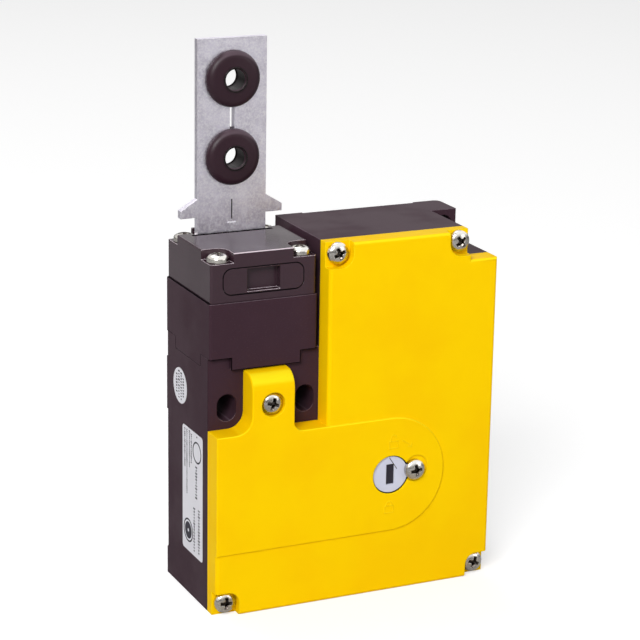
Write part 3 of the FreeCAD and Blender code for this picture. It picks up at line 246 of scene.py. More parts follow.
def edge_light_mask() -> NodeTree:
    """Builds the group that finds edges from a rounded and a sharp normal.

    Edge marks the edges that look upwards, and the slopes that look up but not left;
    these catch the light, which is painted on as highlight, broken by wear noise. Side
    marks the other edges, for painted shade or the lighter edge tone.
    """
    def fill(graph: Graph, entry: Sockets) -> Sequence[NodeSocket]:
        """Adds the group's nodes.

        Args:
            graph: The group's graph.
            entry: Its inputs.

        Returns:
            The masks of the lit and of the other edges.
        """
        facing = graph.node("ShaderNodeVectorMath", {0: entry["Rounded"], 1: entry["Sharp"]},
                            operation="DOT_PRODUCT").outputs["Value"]
        wear_and_highlight_noise = graph.noise(entry["Place"], 900.0)
        edge = graph.math("MULTIPLY", graph.ramp(facing, 0.995, 0.86),
                          graph.ramp(wear_and_highlight_noise, 0.25, 0.6, 0.55, 1.0))
        up = graph.ramp(graph.along("Z", entry["Rounded"]), 0.08, 0.35)
        tilt, right = graph.along("Z", entry["Sharp"]), graph.along("X", entry["Sharp"])
        slope_sheen = graph.math("MULTIPLY", graph.ramp(tilt, 0.3, 0.55), graph.ramp(tilt, 0.98, 0.9))
        slope_sheen = graph.math("MULTIPLY", slope_sheen, graph.ramp(right, -0.5, -0.2))
        lit = graph.math("MULTIPLY", edge, up)
        return graph.math("MAXIMUM", lit, slope_sheen), graph.math("SUBTRACT", edge, lit)
    return shader_group("edge light mask", dict.fromkeys(("Rounded", "Sharp", "Place"), "Vector"),
                        ("Edge", "Side"), fill)


GRAIN, LINES, EDGE_LIGHT = moulded_grain(), drawn_lines(), edge_light_mask()
RECESS_SHADE = "recess"


@dataclass(frozen=True)
class Finish:
    """What every finish has: a name, two tones, the tone of its edges and its relief.

    edge_radius and relief are millimetres. The edge tone is partly wear and partly
    painted highlight where edges and slopes look up; edges that look away take it too
    unless a finish gives them a painted shade.
    """

    name: str
    colour: Colour
    deep: Colour
    edge: Colour
    roughness: float
    edge_radius: float = 0.25
    relief: float = 0.02
    specular: float = 0.25

    def material(self) -> Material:
        """Returns the material, built the first time that it is asked for."""
        return bpy.data.materials.get(self.name) or self.build()

    def build(self) -> Material:
        """Builds the material; each kind of finish has its own way."""
        raise NotImplementedError

    def start(self) -> tuple[Graph, Node, Sockets]:
        """Makes the material with what all finishes share.

        Returns:
            The graph, its Principled shader, and the sockets of the object's place,
            the rounded normal and the masks of the lit and the other edges.
        """
        material = bpy.data.materials.new(self.name)
        material.use_nodes = True
        material.node_tree.nodes.clear()
        graph = Graph(material.node_tree)
        surface = graph.node("ShaderNodeBsdfPrincipled", {"Specular IOR Level": self.specular})
        graph.node("ShaderNodeOutputMaterial", {"Surface": surface.outputs[0]})
        place = graph.node("ShaderNodeTexCoord").outputs["Object"]
        rounded = graph.node("ShaderNodeBevel", {"Radius": self.edge_radius * MM},
                             samples=6).outputs[0]
        sharp = graph.node("ShaderNodeNewGeometry").outputs["Normal"]
        edges = graph.node("ShaderNodeGroup", {"Rounded": rounded, "Sharp": sharp,
                                               "Place": place}, node_tree=EDGE_LIGHT)
        return graph, surface, {"place": place, "rounded": rounded,
                                "edge": edges.outputs["Edge"], "side": edges.outputs["Side"]}

    def close(self, graph: Graph, surface: Node, parts: Sockets, colour: Source,
              height: Source, roughness: Source) -> Material:
        """Links what the finish worked out to the shader.

        Args:
            graph: The material's graph.
            surface: Its Principled shader.
            parts: The sockets that start gave.
            colour: The colour to link.
            height: The relief's height, from 0 to 1.
            roughness: The roughness to link.

        Returns:
            The finished material.
        """
        bump = graph.node("ShaderNodeBump", {
            "Height": height, "Normal": parts["rounded"], "Strength": 0.6,
            "Distance": self.relief * MM})
        for label, source in (("Base Color", colour), ("Roughness", roughness),
                              ("Normal", bump.outputs[0])):
            graph.tree.links.new(source, surface.inputs[label])
        return bpy.data.materials[self.name]


def rgba(colour: Colour) -> tuple[float, float, float, float]:
    """Adds full alpha to a colour."""
    return (*colour, 1.0)


@dataclass(frozen=True)
class Moulded(Finish):
    """Moulded plastic or rubber with eroded grain, mottling, and edges lightened by wear and
    painted highlight.

    fineness is in waves per metre, speck the share of bright flecks, and side the tone
    of the edges that don't look upwards, a painted shade, where it isn't the same as that of the
    others.
    """

    fineness: float = 2600.0
    speck: float = 0.12
    side: Colour | None = None

    def build(self) -> Material:
        """Builds the material."""
        graph, surface, parts = self.start()
        grain = graph.node("ShaderNodeGroup", {"Place": parts["place"],
                                               "Fineness": self.fineness}, node_tree=GRAIN)
        tone = graph.blend(grain.outputs["Tone"], rgba(self.colour), rgba(self.deep))
        fleck = graph.math("MULTIPLY", grain.outputs["Speck"], self.speck)
        tone = graph.blend(fleck, tone, rgba(self.edge))
        # Painted highlight on edges and slopes that look up; painted shade or the edge tone on
        # the other edges.
        tone = graph.blend(parts["edge"], tone, rgba(self.edge))
        tone = graph.blend(parts["side"], tone, rgba(self.side or self.edge))
        rough = graph.ramp(grain.outputs["Tone"], 0.0, 1.0, self.roughness - 0.04,
                           self.roughness + 0.07)
        return self.close(graph, surface, parts, tone, grain.outputs["Height"], rough)


@dataclass(frozen=True)
class Metal(Finish):
    """Bare or plated metal with drawn lines, clouding, edges lightened by wear and painted
    highlight, and painted shade in recesses.
    """

    lay: Lay = Lay.UPRIGHT
    fineness: float = 5200.0
    streak: float = 0.22
    specular: float = 0.5
    recess_shade_tone: Colour = (0.10, 0.085, 0.075)

    def build(self) -> Material:
        """Builds the material."""
        graph, surface, parts = self.start()
        surface.inputs["Metallic"].default_value = 1.0
        lines = graph.node("ShaderNodeGroup", {
            "Place": parts["place"], "Lay": self.lay.value, "Fineness": self.fineness},
            node_tree=LINES)
        tone = graph.blend(lines.outputs["Tone"], rgba(self.colour), rgba(self.deep))
        tone = graph.blend(graph.math("MULTIPLY", lines.outputs["Scratch"], self.streak), tone,
                           rgba(self.edge))
        # Painted highlight, partly wear, on the edges.
        tone = graph.blend(parts["edge"], tone, rgba(self.edge))
        tone = graph.blend(parts["side"], tone, rgba(self.edge))
        # Painted shade inside the screws' cross recesses.
        recess_shade_mask = graph.node("ShaderNodeAttribute", attribute_name=RECESS_SHADE).outputs["Fac"]
        tone = graph.blend(recess_shade_mask, tone, rgba(self.recess_shade_tone))
        rough = graph.ramp(lines.outputs["Scratch"], 0.0, 1.0, self.roughness - 0.05,
                           self.roughness + 0.08)
        return self.close(graph, surface, parts, tone, lines.outputs["Height"], rough)


@dataclass(frozen=True)
class Winding(Finish):
    """Enamelled wire wound in close turns up the bobbin, with painted shade in the creases
    between turns.
    """

    turns_per_metre: float = 2400.0

    def build(self) -> Material:
        """Builds the material."""
        graph, surface, parts = self.start()
        wave = graph.math("SINE", graph.math("MULTIPLY", graph.along("Z", parts["place"]),
                                             self.turns_per_metre * math.tau))
        # The troughs between turns are painted darker as shade in the creases.
        turn = graph.ramp(wave, -1.0, 0.6)
        tone = graph.blend(turn, rgba(self.deep), rgba(self.colour))
        tone = graph.blend(parts["edge"], tone, rgba(self.edge))
        return self.close(graph, surface, parts, tone, turn,
                          graph.ramp(turn, 0.0, 1.0, self.roughness + 0.2, self.roughness))


# Edge tones are painted highlight on edges and upward slopes, partly wear; side tones are painted
# shade on edges that look away from the light.
BLACK = Moulded(
    "black moulding", (0.050, 0.0245, 0.0355), (0.043, 0.0205, 0.0300), (0.20, 0.150, 0.18),
    roughness=0.42, edge_radius=0.28, relief=0.007, specular=0.08, speck=0.08,
    side=(0.018, 0.007, 0.010))
CAP = Moulded(
    "polished black moulding", (0.045, 0.0215, 0.0315), (0.039, 0.0185, 0.0270),
    (0.75, 0.64, 0.70), roughness=0.20, edge_radius=0.28, relief=0.004, specular=0.38,
    speck=0.01, side=(0.016, 0.006, 0.009))
GAP = Moulded(
    "seam shadow", (0.003, 0.002, 0.003), (0.003, 0.002, 0.003), (0.004, 0.003, 0.004),
    roughness=0.8, edge_radius=0.05, relief=0.002, specular=0.02, speck=0.0)
YELLOW = Moulded(
    "yellow cover", (1.0, 0.635, 0.0), (0.98, 0.59, 0.0), (1.0, 0.76, 0.01),
    roughness=0.40, edge_radius=0.35, relief=0.005, specular=0.035, fineness=2300.0,
    speck=0.03)
RUBBER = Moulded(
    "grommet rubber", (0.028, 0.0105, 0.0175), (0.022, 0.008, 0.0135), (0.085, 0.055, 0.07),
    roughness=0.40, edge_radius=0.2, relief=0.010, specular=0.26, fineness=1800.0, speck=0.05)
LAVENDER = Moulded(
    "release plastic", (0.62, 0.64, 0.78), (0.56, 0.58, 0.72), (0.88, 0.88, 0.94),
    roughness=0.42, edge_radius=0.15, relief=0.006, specular=0.2, fineness=3000.0, speck=0.10)
# Print colour, and also painted shade on the key slot's ribs and floor.
INK_AND_SLOT_SHADE = Moulded(
    "printing ink and slot shade", (0.040, 0.036, 0.050), (0.028, 0.025, 0.036), (0.09, 0.085, 0.11),
    roughness=0.55, edge_radius=0.02, relief=0.002, specular=0.15, fineness=3500.0, speck=0.2)
LABEL = Moulded(
    "label foil", (0.80, 0.79, 0.84), (0.75, 0.74, 0.79), (0.92, 0.92, 0.94),
    roughness=0.38, edge_radius=0.05, relief=0.002, specular=0.25, fineness=3500.0, speck=0.1)
PALE = Moulded(
    "pale glass-filled plastic", (0.62, 0.59, 0.52), (0.55, 0.52, 0.46), (0.78, 0.75, 0.70),
    roughness=0.5, edge_radius=0.2, relief=0.015, specular=0.4, fineness=1900.0, speck=0.25)
ACETAL = Moulded(
    "natural acetal", (0.74, 0.72, 0.67), (0.68, 0.66, 0.61), (0.88, 0.86, 0.82),
    roughness=0.35, edge_radius=0.2, relief=0.006, specular=0.4, fineness=2400.0, speck=0.1)
ZINC = Metal(
    "bright zinc plate", (0.66, 0.63, 0.58), (0.42, 0.39, 0.36), (0.95, 0.93, 0.88),
    roughness=0.20, edge_radius=0.12, relief=0.004, lay=Lay.EVEN, fineness=2600.0)
TONGUE_STEEL = Metal(
    "stamped stainless steel", (0.84, 0.80, 0.91), (0.71, 0.67, 0.77), (0.98, 0.96, 1.0),
    roughness=0.42, edge_radius=0.12, relief=0.006, lay=Lay.EVEN, fineness=1900.0,
    streak=0.75)
STEEL = Metal(
    "drawn steel", (0.62, 0.62, 0.64), (0.50, 0.50, 0.52), (0.85, 0.85, 0.87),
    roughness=0.3, edge_radius=0.12, relief=0.004, fineness=3600.0)
# Near black: on the grommets' sleeves it is painted shade for the deep bores; on the pointer and
# scribed lines it is the marks' own dark tone.
DARK_STEEL = Metal(
    "blackened steel", (0.026, 0.021, 0.022), (0.014, 0.011, 0.012), (0.12, 0.11, 0.11),
    roughness=0.46, edge_radius=0.1, relief=0.004, lay=Lay.EVEN, fineness=3200.0, streak=0.1)
BRASS = Metal(
    "contact brass", (0.78, 0.58, 0.26), (0.62, 0.44, 0.18), (0.95, 0.80, 0.45),
    roughness=0.28, edge_radius=0.1, relief=0.004, lay=Lay.ACROSS, fineness=3600.0)
COPPER = Winding(
    "copper winding", (0.52, 0.20, 0.08), (0.20, 0.07, 0.03), (0.75, 0.40, 0.20),
    roughness=0.3, edge_radius=0.1, relief=0.08)


# ------------------------------------------------------------------ mesh tools
def lathe(profile: Iterable[Spot], segments: int = 64) -> BMesh:
    """Turns a closed or open (radius, height) profile about the Z axis.

    Args:
        profile: Points in millimetres, from the axis or around a closed ring.
        segments: How many steps make the full turn.

    Returns:
        The turned mesh, merged and with its faces outwards.
    """
    bm = bmesh.new()
    spots = [bm.verts.new((radius * MM, 0.0, height * MM)) for radius, height in profile]
    edges = [bm.edges.new(pair) for pair in zip(spots, spots[1:])]
    bmesh.ops.spin(bm, geom=spots + edges, cent=(0, 0, 0), axis=(0, 0, 1),
                   angle=math.tau, steps=segments, use_duplicate=False)
    return cleaned(bm)


def cleaned(bm: BMesh) -> BMesh:
    """Merges doubles, drops slivers and turns the faces outwards.

    Args:
        bm: The mesh to clean.

    Returns:
        The same mesh.
    """
    bmesh.ops.remove_doubles(bm, verts=bm.verts[:], dist=0.002 * MM)
    bmesh.ops.dissolve_degenerate(bm, edges=bm.edges[:], dist=0.0005 * MM)
    bmesh.ops.recalc_face_normals(bm, faces=bm.faces[:])
    return bm


def rectangle(left: float, bottom: float, right: float, top: float) -> list[Spot]:
    """Returns the corners (x, z) of an upright rectangle."""
    return [(left, bottom), (right, bottom), (right, top), (left, top)]


def flat_ring(inner: float, outer: float, half: float, segments: int) -> BMesh:
    """Makes a flat ring about the Z axis, with half its thickness on each side."""
    section = rectangle(inner, -half, outer, half)
    return lathe([*section, section[0]], segments)


def turned(bm: BMesh, degrees: float, axis: str, to: Point = (0.0, 0.0, 0.0)) -> BMesh:
    """Turns a mesh about an axis through the origin, then moves it.

    Args:
        bm: The mesh.
        degrees: How far it turns.
        axis: X, Y or Z.
        to: Where its origin goes, in millimetres.

    Returns:
        The same mesh.
    """
    bmesh.ops.rotate(bm, verts=bm.verts[:], cent=(0, 0, 0),
                     matrix=Matrix.Rotation(math.radians(degrees), 3, axis))
    bmesh.ops.translate(bm, verts=bm.verts[:], vec=Vector(to) * MM)
    return bm


def slab(outline: Sequence[Spot], low: float, high: float) -> BMesh:
    """Raises an outline, drawn as seen from the cover's side, into a thin slab.

    Args:
        outline: Points (x, z) in millimetres.
        low: The slab's front, as y in millimetres.
        high: The slab's back, as y in millimetres.

    Returns:
        The closed slab.
    """
    bm = bmesh.new()
    face = bm.faces.new([bm.verts.new(Vector((x, low, z)) * MM) for x, z in outline])
    raised = bmesh.ops.extrude_face_region(bm, geom=[face])["geom"]
    bmesh.ops.translate(bm, verts=[v for v in raised if isinstance(v, BMVert)],
                        vec=(0, (high - low) * MM, 0))
    return cleaned(bm)


def joined(pieces: Iterable[BMesh]) -> BMesh:
    """Puts several meshes into one.

    Args:
        pieces: The meshes, which are freed.

    Returns:
        The whole.
    """
    whole = bmesh.new()
    for piece in pieces:
        mesh = bpy.data.meshes.new("part")
        piece.to_mesh(mesh)
        piece.free()
        whole.from_mesh(mesh)
        bpy.data.meshes.remove(mesh)
    return whole


def show(made: Object) -> Object:
    """Links an object into the scene and returns it."""
    bpy.context.scene.collection.objects.link(made)
    return made


def set_aside(model: Object) -> Object:
    """Takes a model that is only repeated out of the scene again and returns it."""
    bpy.context.scene.collection.objects.unlink(model)
    return model


def to_object(name: str, bm: BMesh, finish: Material | None = None,
              smooth: float = 32.0) -> Object:
    """Turns a mesh into an object at the origin.

    Args:
        name: The object's name.
        bm: The mesh, which is freed.
        finish: Its material, if it has one yet.
        smooth: The angle in degrees above which an edge stays sharp.

    Returns:
        The linked object.
    """
    bm.normal_update()
    for face in bm.faces:
        face.smooth = True
    for edge in bm.edges:
        edge.smooth = edge.calc_face_angle(math.pi) < math.radians(smooth)
    mesh = bpy.data.meshes.new(name)
    bm.to_mesh(mesh)
    bm.free()
    if finish:
        mesh.materials.append(finish)
    return show(bpy.data.objects.new(name, mesh))


def evaluated(target: Object) -> Mesh:
    """Works out the plain mesh that an object has after its modifiers or its bevel.

    Args:
        target: The linked object.

    Returns:
        The new mesh.
    """
    bpy.context.view_layer.update()
    graph = bpy.context.evaluated_depsgraph_get()
    return bpy.data.meshes.new_from_object(target.evaluated_get(graph))


def combine(target: Object, other: Object, operation: str) -> None:
    """Cuts another object out of one or joins it on, and removes the other.

    Args:
        target: The object that changes.
        other: The object that is used up.
        operation: DIFFERENCE or UNION.
    """
    modifier = target.modifiers.new("combine", "BOOLEAN")
    modifier.operation, modifier.object, modifier.solver = operation, other, "EXACT"
    settle(target)
    bpy.data.objects.remove(other)


def settle(target: Object) -> None:
    """Turns an object's modifiers into its plain mesh.

    Args:
        target: The object that changes.
    """
    mesh = evaluated(target)
    target.modifiers.clear()
    target.data = mesh


def flatten(target: Object) -> None:
    """Lets the large faces set the normals, so that flat sides shade flat.

    Args:
        target: The object that changes.
    """
    modifier = target.modifiers.new("weight", "WEIGHTED_NORMAL")
    modifier.mode, modifier.weight, modifier.keep_sharp = "FACE_AREA", 100, True
    settle(target)


def bent(points: Iterable[Point], width: float, name: str) -> BMesh:
    """Makes a round bead along a line.

    Args:
        points: The line's points in millimetres.
        width: The bead's width in millimetres.
        name: The name of the curve while it is made.

    Returns:
        The bead, with closed ends.
    """
    curve = bpy.data.curves.new(name, "CURVE")
    curve.dimensions, curve.bevel_depth, curve.bevel_resolution = "3D", width / 2 * MM, 2
    curve.use_fill_caps = True
    points = list(points)
    spline = curve.splines.new("POLY")
    spline.points.add(len(points) - 1)
    for spot, point in zip(spline.points, points):
        spot.co = (*[value * MM for value in point], 1.0)
    carrier = show(bpy.data.objects.new(name, curve))
    mesh = evaluated(carrier)
    bm = bmesh.new()
    bm.from_mesh(mesh)
    bpy.data.objects.remove(carrier)
    bpy.data.curves.remove(curve)
    bpy.data.meshes.remove(mesh)
    return cleaned(bm)


def arc(centre: Spot, radius: float, start: float, stop: float, y: float,
        steps: int = 20) -> list[Point]:
    """Returns points along an arc in the plane of the cover's face, in millimetres."""
    angles = [math.radians(start + (stop - start) * k / steps) for k in range(steps + 1)]
    return [(centre[0] + radius * math.cos(a), y, centre[1] + radius * math.sin(a))
            for a in angles]


# ------------------------------------------------------------------ geometry nodes
class Repeater:
    """A Geometry Nodes tree that sets one model object on many seats."""

    SEED = 7

    def __init__(self, name: str) -> None:
        """Builds the tree with its named inputs.

        Args:
            name: The tree's name.
        """
        tree = bpy.data.node_groups.new(name, "GeometryNodeTree")
        sockets = [("Seats", "NodeSocketGeometry"), ("Model", "NodeSocketObject"),
                   ("Facing", "NodeSocketVector"), ("Spin", "NodeSocketFloat"),
                   ("Smallest", "NodeSocketVector"), ("Largest", "NodeSocketVector"),
                   ("Finish", "NodeSocketMaterial")]
        for label, kind in sockets:
            tree.interface.new_socket(name=label, in_out="INPUT", socket_type=kind)
        tree.interface.new_socket(name="Pieces", in_out="OUTPUT",
                                  socket_type="NodeSocketGeometry")
        graph = Graph(tree)
        entry = graph.node("NodeGroupInput")
        model = graph.node("GeometryNodeObjectInfo", {"Object": entry.outputs["Model"]})
        low = graph.node("ShaderNodeMath", {0: entry.outputs["Spin"], 1: -1.0},
                         operation="MULTIPLY").outputs[0]
        spin = graph.node("FunctionNodeRandomValue", {
            "Min": low, "Max": entry.outputs["Spin"], "Seed": self.SEED},
            data_type="FLOAT")
        size = graph.node("FunctionNodeRandomValue", {
            "Min": entry.outputs["Smallest"], "Max": entry.outputs["Largest"],
            "Seed": self.SEED + 1}, data_type="FLOAT_VECTOR")
        about = graph.node("ShaderNodeCombineXYZ", {"Z": spin.outputs[1]})
        turned = graph.node("FunctionNodeRotateRotation", {
            "Rotation": graph.node("FunctionNodeEulerToRotation",
                                   {0: entry.outputs["Facing"]}).outputs[0],
            "Rotate By": graph.node("FunctionNodeEulerToRotation",
                                    {0: about.outputs[0]}).outputs[0]},
            rotation_space="LOCAL")
        seated = graph.node("GeometryNodeInstanceOnPoints", {
            "Points": entry.outputs["Seats"], "Instance": model.outputs["Geometry"],
            "Rotation": turned.outputs[0], "Scale": size.outputs[0]})
        real = graph.node("GeometryNodeRealizeInstances", {0: seated.outputs[0]})
        painted = graph.node("GeometryNodeSetMaterial", {
            "Geometry": real.outputs[0], "Material": entry.outputs["Finish"]})
        graph.node("NodeGroupOutput", {0: painted.outputs[0]})
        self.tree = tree

    def place(self, name: str, seats: Sequence[Point], model: Object,
              finish: Material, facing: Facing = Facing.TOP, spin: float = 0.0,
              smallest: Point = (1.0, 1.0, 1.0), largest: Point = (1.0, 1.0, 1.0)
              ) -> Object:
        """Sets the model on each seat and returns the result as one plain object.

        Args:
            name: The new object's name.
            seats: Places in millimetres.
            model: The object to repeat, which stays outside the scene.
            finish: The material of the repeated pieces.
            facing: Which way the model's Z axis looks.
            spin: The largest random turn about that axis, in radians.
            smallest: The least random scale on each axis.
            largest: The most random scale on each axis.

        Returns:
            The finished object.
        """
        bm = bmesh.new()
        for seat in seats:
            bm.verts.new(Vector(seat) * MM)
        made = to_object(name, bm)
        modifier = made.modifiers.new(name, "NODES")
        modifier.node_group = self.tree
        values = {"Model": model, "Facing": facing.value, "Spin": spin,
                  "Smallest": smallest, "Largest": largest, "Finish": finish}
        for item in self.tree.interface.items_tree:
            if item.in_out == "INPUT" and item.name in values:
                modifier[item.identifier] = values[item.name]
        settle(made)
        made.data.materials.clear()
        made.data.materials.append(finish)
        return made


def dress(piece: Object, body: str, slot: str, *nodes: str) -> None:
    """Sets a finished piece on the body that it rides on, and hides the nodes that it stands for.

    Args:
        piece: The finished object.
        body: The body that it rides on.
        slot: The record's material slot; not used.
        *nodes: The frame's nodes that it stands for.
    """
    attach(piece, body)
    if nodes:
        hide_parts(*nodes)
    log.info("%s: %d faces on %s", piece.name, len(piece.data.polygons), body)


def add(name: str, bm: BMesh, finish: Finish, body: str, slot: str) -> None:
    dress(to_object(name, bm, finish.material()), body, slot)


# ------------------------------------------------------------------ sub-assemblies
@dataclass
class Fasteners:
    """Pan-head screws with a cross recess, on the cover and on the head."""

    repeater: Repeater
    head_radius: float = 2.9
    head_height: float = 2.2
    rim: float = 0.12
    rim_share: float = 0.42
    shank_radius: float = 1.5
    tip: Spot = (0.3, 0.4)
    arm: float = 1.95
    arm_width: float = 1.05
    arm_foot: Spot = (0.45, 0.36)
    recess: float = 1.6
    overcut: float = 0.3
    shade_margin: float = 0.1
    rib_reach: float = 0.72
    rib_width: float = 0.16
    rib_depth: float = 0.3
    cover_length: float = 11.5
    head_length: float = 32.5
    corner_spots: tuple[Spot, ...] = ((-36.8, 3.4), (36.8, 3.4), (-5.8, 95.0), (29.4, 95.0))
    corner_seat: float = -13.4
    ear_seat: Point = (-24.5, -14.6, 57.2)
    seal_seat: Point = (16.7, -16.4, 34.0)
    seal_spin: float = 0.3
    head_reach: float = 11.4
    head_seat: float = 94.3

    def model(self, name: str, length: float) -> Object:
        """Builds one screw with its seat at the origin.

        Args:
            name: The object's name.
            length: The shank's length in millimetres.

        Returns:
            The model, taken out of the scene again.
        """
        r, h, shank, rim = self.head_radius, self.head_height, self.shank_radius, self.rim_share
        crown = [(r * math.cos(a), h * rim + h * (1 - rim) * math.sin(a))
                 for a in [math.radians(90 * k / 9) for k in range(10)]]
        screw = to_object(name, lathe([
            (0.0, -length), (shank - self.tip[0], -length), (shank, self.tip[1] - length),
            (shank, 0.0), (r - self.rim, 0.0), (r, self.rim), *crown[:-1], (0.0, h)], 72))
        combine(screw, self.cross(name + "_cross"), "DIFFERENCE")
        self.shade(screw, crown)
        return set_aside(screw)

    def shade(self, screw: Object, crown: Sequence[Spot]) -> None:
        """Marks the faces inside the recess, those that lie below the crown's line, for painted
        shade.

        Args:
            screw: The carved model.
            crown: The crown's points (radius, height), from the rim to the middle.
        """
        mark, margin = screw.data.attributes.new(RECESS_SHADE, "FLOAT", "FACE"), self.shade_margin
        for face in screw.data.polygons:
            x, y, z = face.center / MM
            reach = math.hypot(x, y)
            line = next((high for radius, high in crown if radius <= reach), crown[-1][1])
            inside = reach < self.arm + 2 * margin and 2 * margin < z < line - margin
            mark.data[face.index].value = 1.0 if inside else 0.0

    def cross(self, name: str) -> Object:
        """Builds the cutter of the cross recess with its four faint ribs.

        Args:
            name: The object's name.

        Returns:
            The cutter, which narrows towards its foot.
        """
        h, rib, arms = self.head_height, self.arm * self.rib_reach, []
        for turn, reach, width, deep in ((0, self.arm, self.arm_width, self.recess),
                                         (90, self.arm, self.arm_width, self.recess),
                                         (45, rib, self.rib_width, self.rib_depth),
                                         (135, rib, self.rib_width, self.rib_depth)):
            bm = bmesh.new()
            foot = (reach * self.arm_foot[0], width * self.arm_foot[1], h - deep)
            ring = [[bm.verts.new(Vector((x * s, y * w, z)) * MM)
                     for x, y in rectangle(-1, -1, 1, 1)]
                    for s, w, z in (foot, (reach, width / 2, h + self.overcut))]
            bm.faces.new(ring[0])
            bm.faces.new(ring[1])
            for k in range(4):
                bm.faces.new((ring[0][k], ring[0][k - 1], ring[1][k - 1], ring[1][k]))
            arms.append(cleaned(turned(bm, turn, "Z")))
        first = to_object(name, arms[0])
        for k, other in enumerate(arms[1:]):
            combine(first, to_object(f"{name}_{k}", other), "UNION")
        return first

    def build(self) -> None:
        short = self.model("short_screw", self.cover_length)
        long = self.model("long_screw", self.head_length)
        cover = [*[(x, self.corner_seat, z) for x, z in self.corner_spots], self.ear_seat]
        head = [(HEAD_X + a * self.head_reach, HEAD_Y + b * self.head_reach, self.head_seat)
                for a in (-1, 1) for b in (-1, 1)]
        for name, seats, model, facing, spin, node in (
                ("cover_screws_crossed", cover, short, Facing.COVER, math.pi, "cover_screws"),
                ("seal_screw_crossed", [self.seal_seat], short, Facing.COVER, self.seal_spin,
                 "release_seal_screw"),
                ("head_screws_crossed", head, long, Facing.TOP, math.pi, "head_screws")):
            dress(self.repeater.place(name, seats, model, ZINC.material(), facing, spin),
                  "switch_body", "zinc_steel", node)
        for model in (short, long):
            bpy.data.objects.remove(model)


@dataclass
class Tongue:
    """The stamped tongue's domed grommets and its scribed mark."""

    repeater: Repeater
    middle_y: float = 11.2
    eyes: tuple[float, float] = (116.9, 137.4)
    eye_radius: float = 4.6
    half_plate: float = 1.0
    rim: float = 7.45
    rise: float = 2.3
    round_: float = 2.1
    bore: float = 3.3
    lip: float = 2.7
    lip_steps: tuple[Spot, ...] = ((1.0, 0.05), (0.4, 0.1), (0.08, 0.02), (0.0, -0.15),
                                   (0.0, -0.3))
    line: tuple[float, float, float, float] = (-25.35, 100.3, -25.05, 105.6)
    line_proud: float = 0.02
    bar: tuple[float, float, float, float] = (-26.4, 99.2, -23.9, 99.6)
    bar_proud: float = 0.06
    sunk: float = 0.1

    def grommet(self) -> Object:
        """Builds one grommet: two domes with a waist in the eye and a lip at the bore."""
        top = self.half_plate + self.rise
        dome = []
        for k in range(13):
            angle = math.radians(90 * k / 12)
            dome.append((self.rim + self.round_ * (math.cos(angle) - 1),
                         self.half_plate + 0.3 + (self.rise - 0.42) * math.sin(angle)))
        upper = [(self.eye_radius, self.half_plate), (self.rim - 0.25, self.half_plate), *dome,
                 *[(self.lip + out, top + up) for out, up in self.lip_steps],
                 (self.bore, top - 0.32)]
        ring = [(r, -z) for r, z in reversed(upper)] + upper
        return set_aside(to_object("grommet", lathe(ring + [ring[0]], 96), smooth=60))

    def build(self) -> None:
        model = self.grommet()
        seats = [(HEAD_X, self.middle_y, level) for level in self.eyes]
        dress(self.repeater.place("grommets_domed", seats, model, RUBBER.material(),
                                  Facing.COVER, 0.4),
              "tongue", "black_rubber", "tongue_grommets")
        bpy.data.objects.remove(model)
        face = self.middle_y - self.half_plate
        upright = slab(rectangle(*self.line), face - self.line_proud, face + self.sunk)
        bar = slab(rectangle(*self.bar), face - self.bar_proud, face + self.sunk)
        add("tongue_scribed_line", upright, DARK_STEEL, "tongue", "tongue_steel")
        add("tongue_scribed_bar", bar, LABEL, "tongue", "tongue_steel")


@dataclass
class Release:
    """The release disc's key slot with its ribs and floor painted dark as shade, its pointer
    line, and a ring of painted shade in the gap round it.
    """

    repeater: Repeater
    face: float = DISC_LOW.y
    slot_width: float = 2.4
    slot_length: float = 5.7
    slot_depth: float = 1.5
    ribs: int = 15
    rib_inset: float = 0.1
    rib_half: float = 0.07
    rib_rise: float = 0.18
    end: float = 0.2
    shade_lining: float = 0.45
    play: float = 0.02
    pointer: tuple[Spot, Spot] = ((-0.35, 4.7), (1.95, 1.3))
    pointer_half: float = 0.09
    pointer_proud: float = 0.015
    sunk: float = 0.05
    gap: tuple[float, float] = (5.06, 5.5)
    gap_proud: float = 0.06

    def build(self) -> None:
        x, z = RELEASE
        half_w, half_l = self.slot_width / 2, self.slot_length / 2
        rib_w = half_w - self.rib_inset
        # The slot's ribs and floor lining are ink-dark: painted shade inside the key slot.
        rib = set_aside(to_object("rib", slab(
            rectangle(-rib_w, -self.rib_half, rib_w, self.rib_half), 0.0, self.rib_rise)))
        pitch = (self.slot_length - 2 * self.end) / (self.ribs - 1)
        level = self.face + self.shade_lining - self.rib_rise * 2 / 3
        seats = [(x, level, z - half_l + self.end + pitch * k) for k in range(self.ribs)]
        dress(self.repeater.place("key_slot_ribs", seats, rib, INK_AND_SLOT_SHADE.material(),
                                  smallest=(0.86, 1.0, 0.8), largest=(1.0, 1.0, 1.2)),
              "release", "release_plastic")
        bpy.data.objects.remove(rib)
        half_w, half_l = half_w - self.play, half_l - self.play
        shade_lining = slab(rectangle(x - half_w, z - half_l, x + half_w, z + half_l),
                      self.face + self.shade_lining, self.face + self.slot_depth - self.play / 2)
        add("key_slot_floor", shade_lining, INK_AND_SLOT_SHADE, "release", "release_plastic")
        start, stop = (Vector((x + a, z + b)) for a, b in self.pointer)
        side = (stop - start).orthogonal().normalized() * self.pointer_half
        line = slab([tuple(start - side), tuple(stop - side), tuple(stop + side),
                     tuple(start + side)], self.face - self.pointer_proud,
                    self.face + self.sunk)
        add("pointer_line", line, DARK_STEEL, "release", "release_plastic")
        ring = turned(flat_ring(*self.gap, self.sunk, 96), 90, "X",
                      (x, self.face - self.gap_proud, z))
        add("release_gap_shade", ring, GAP, "switch_body", "black_rubber")


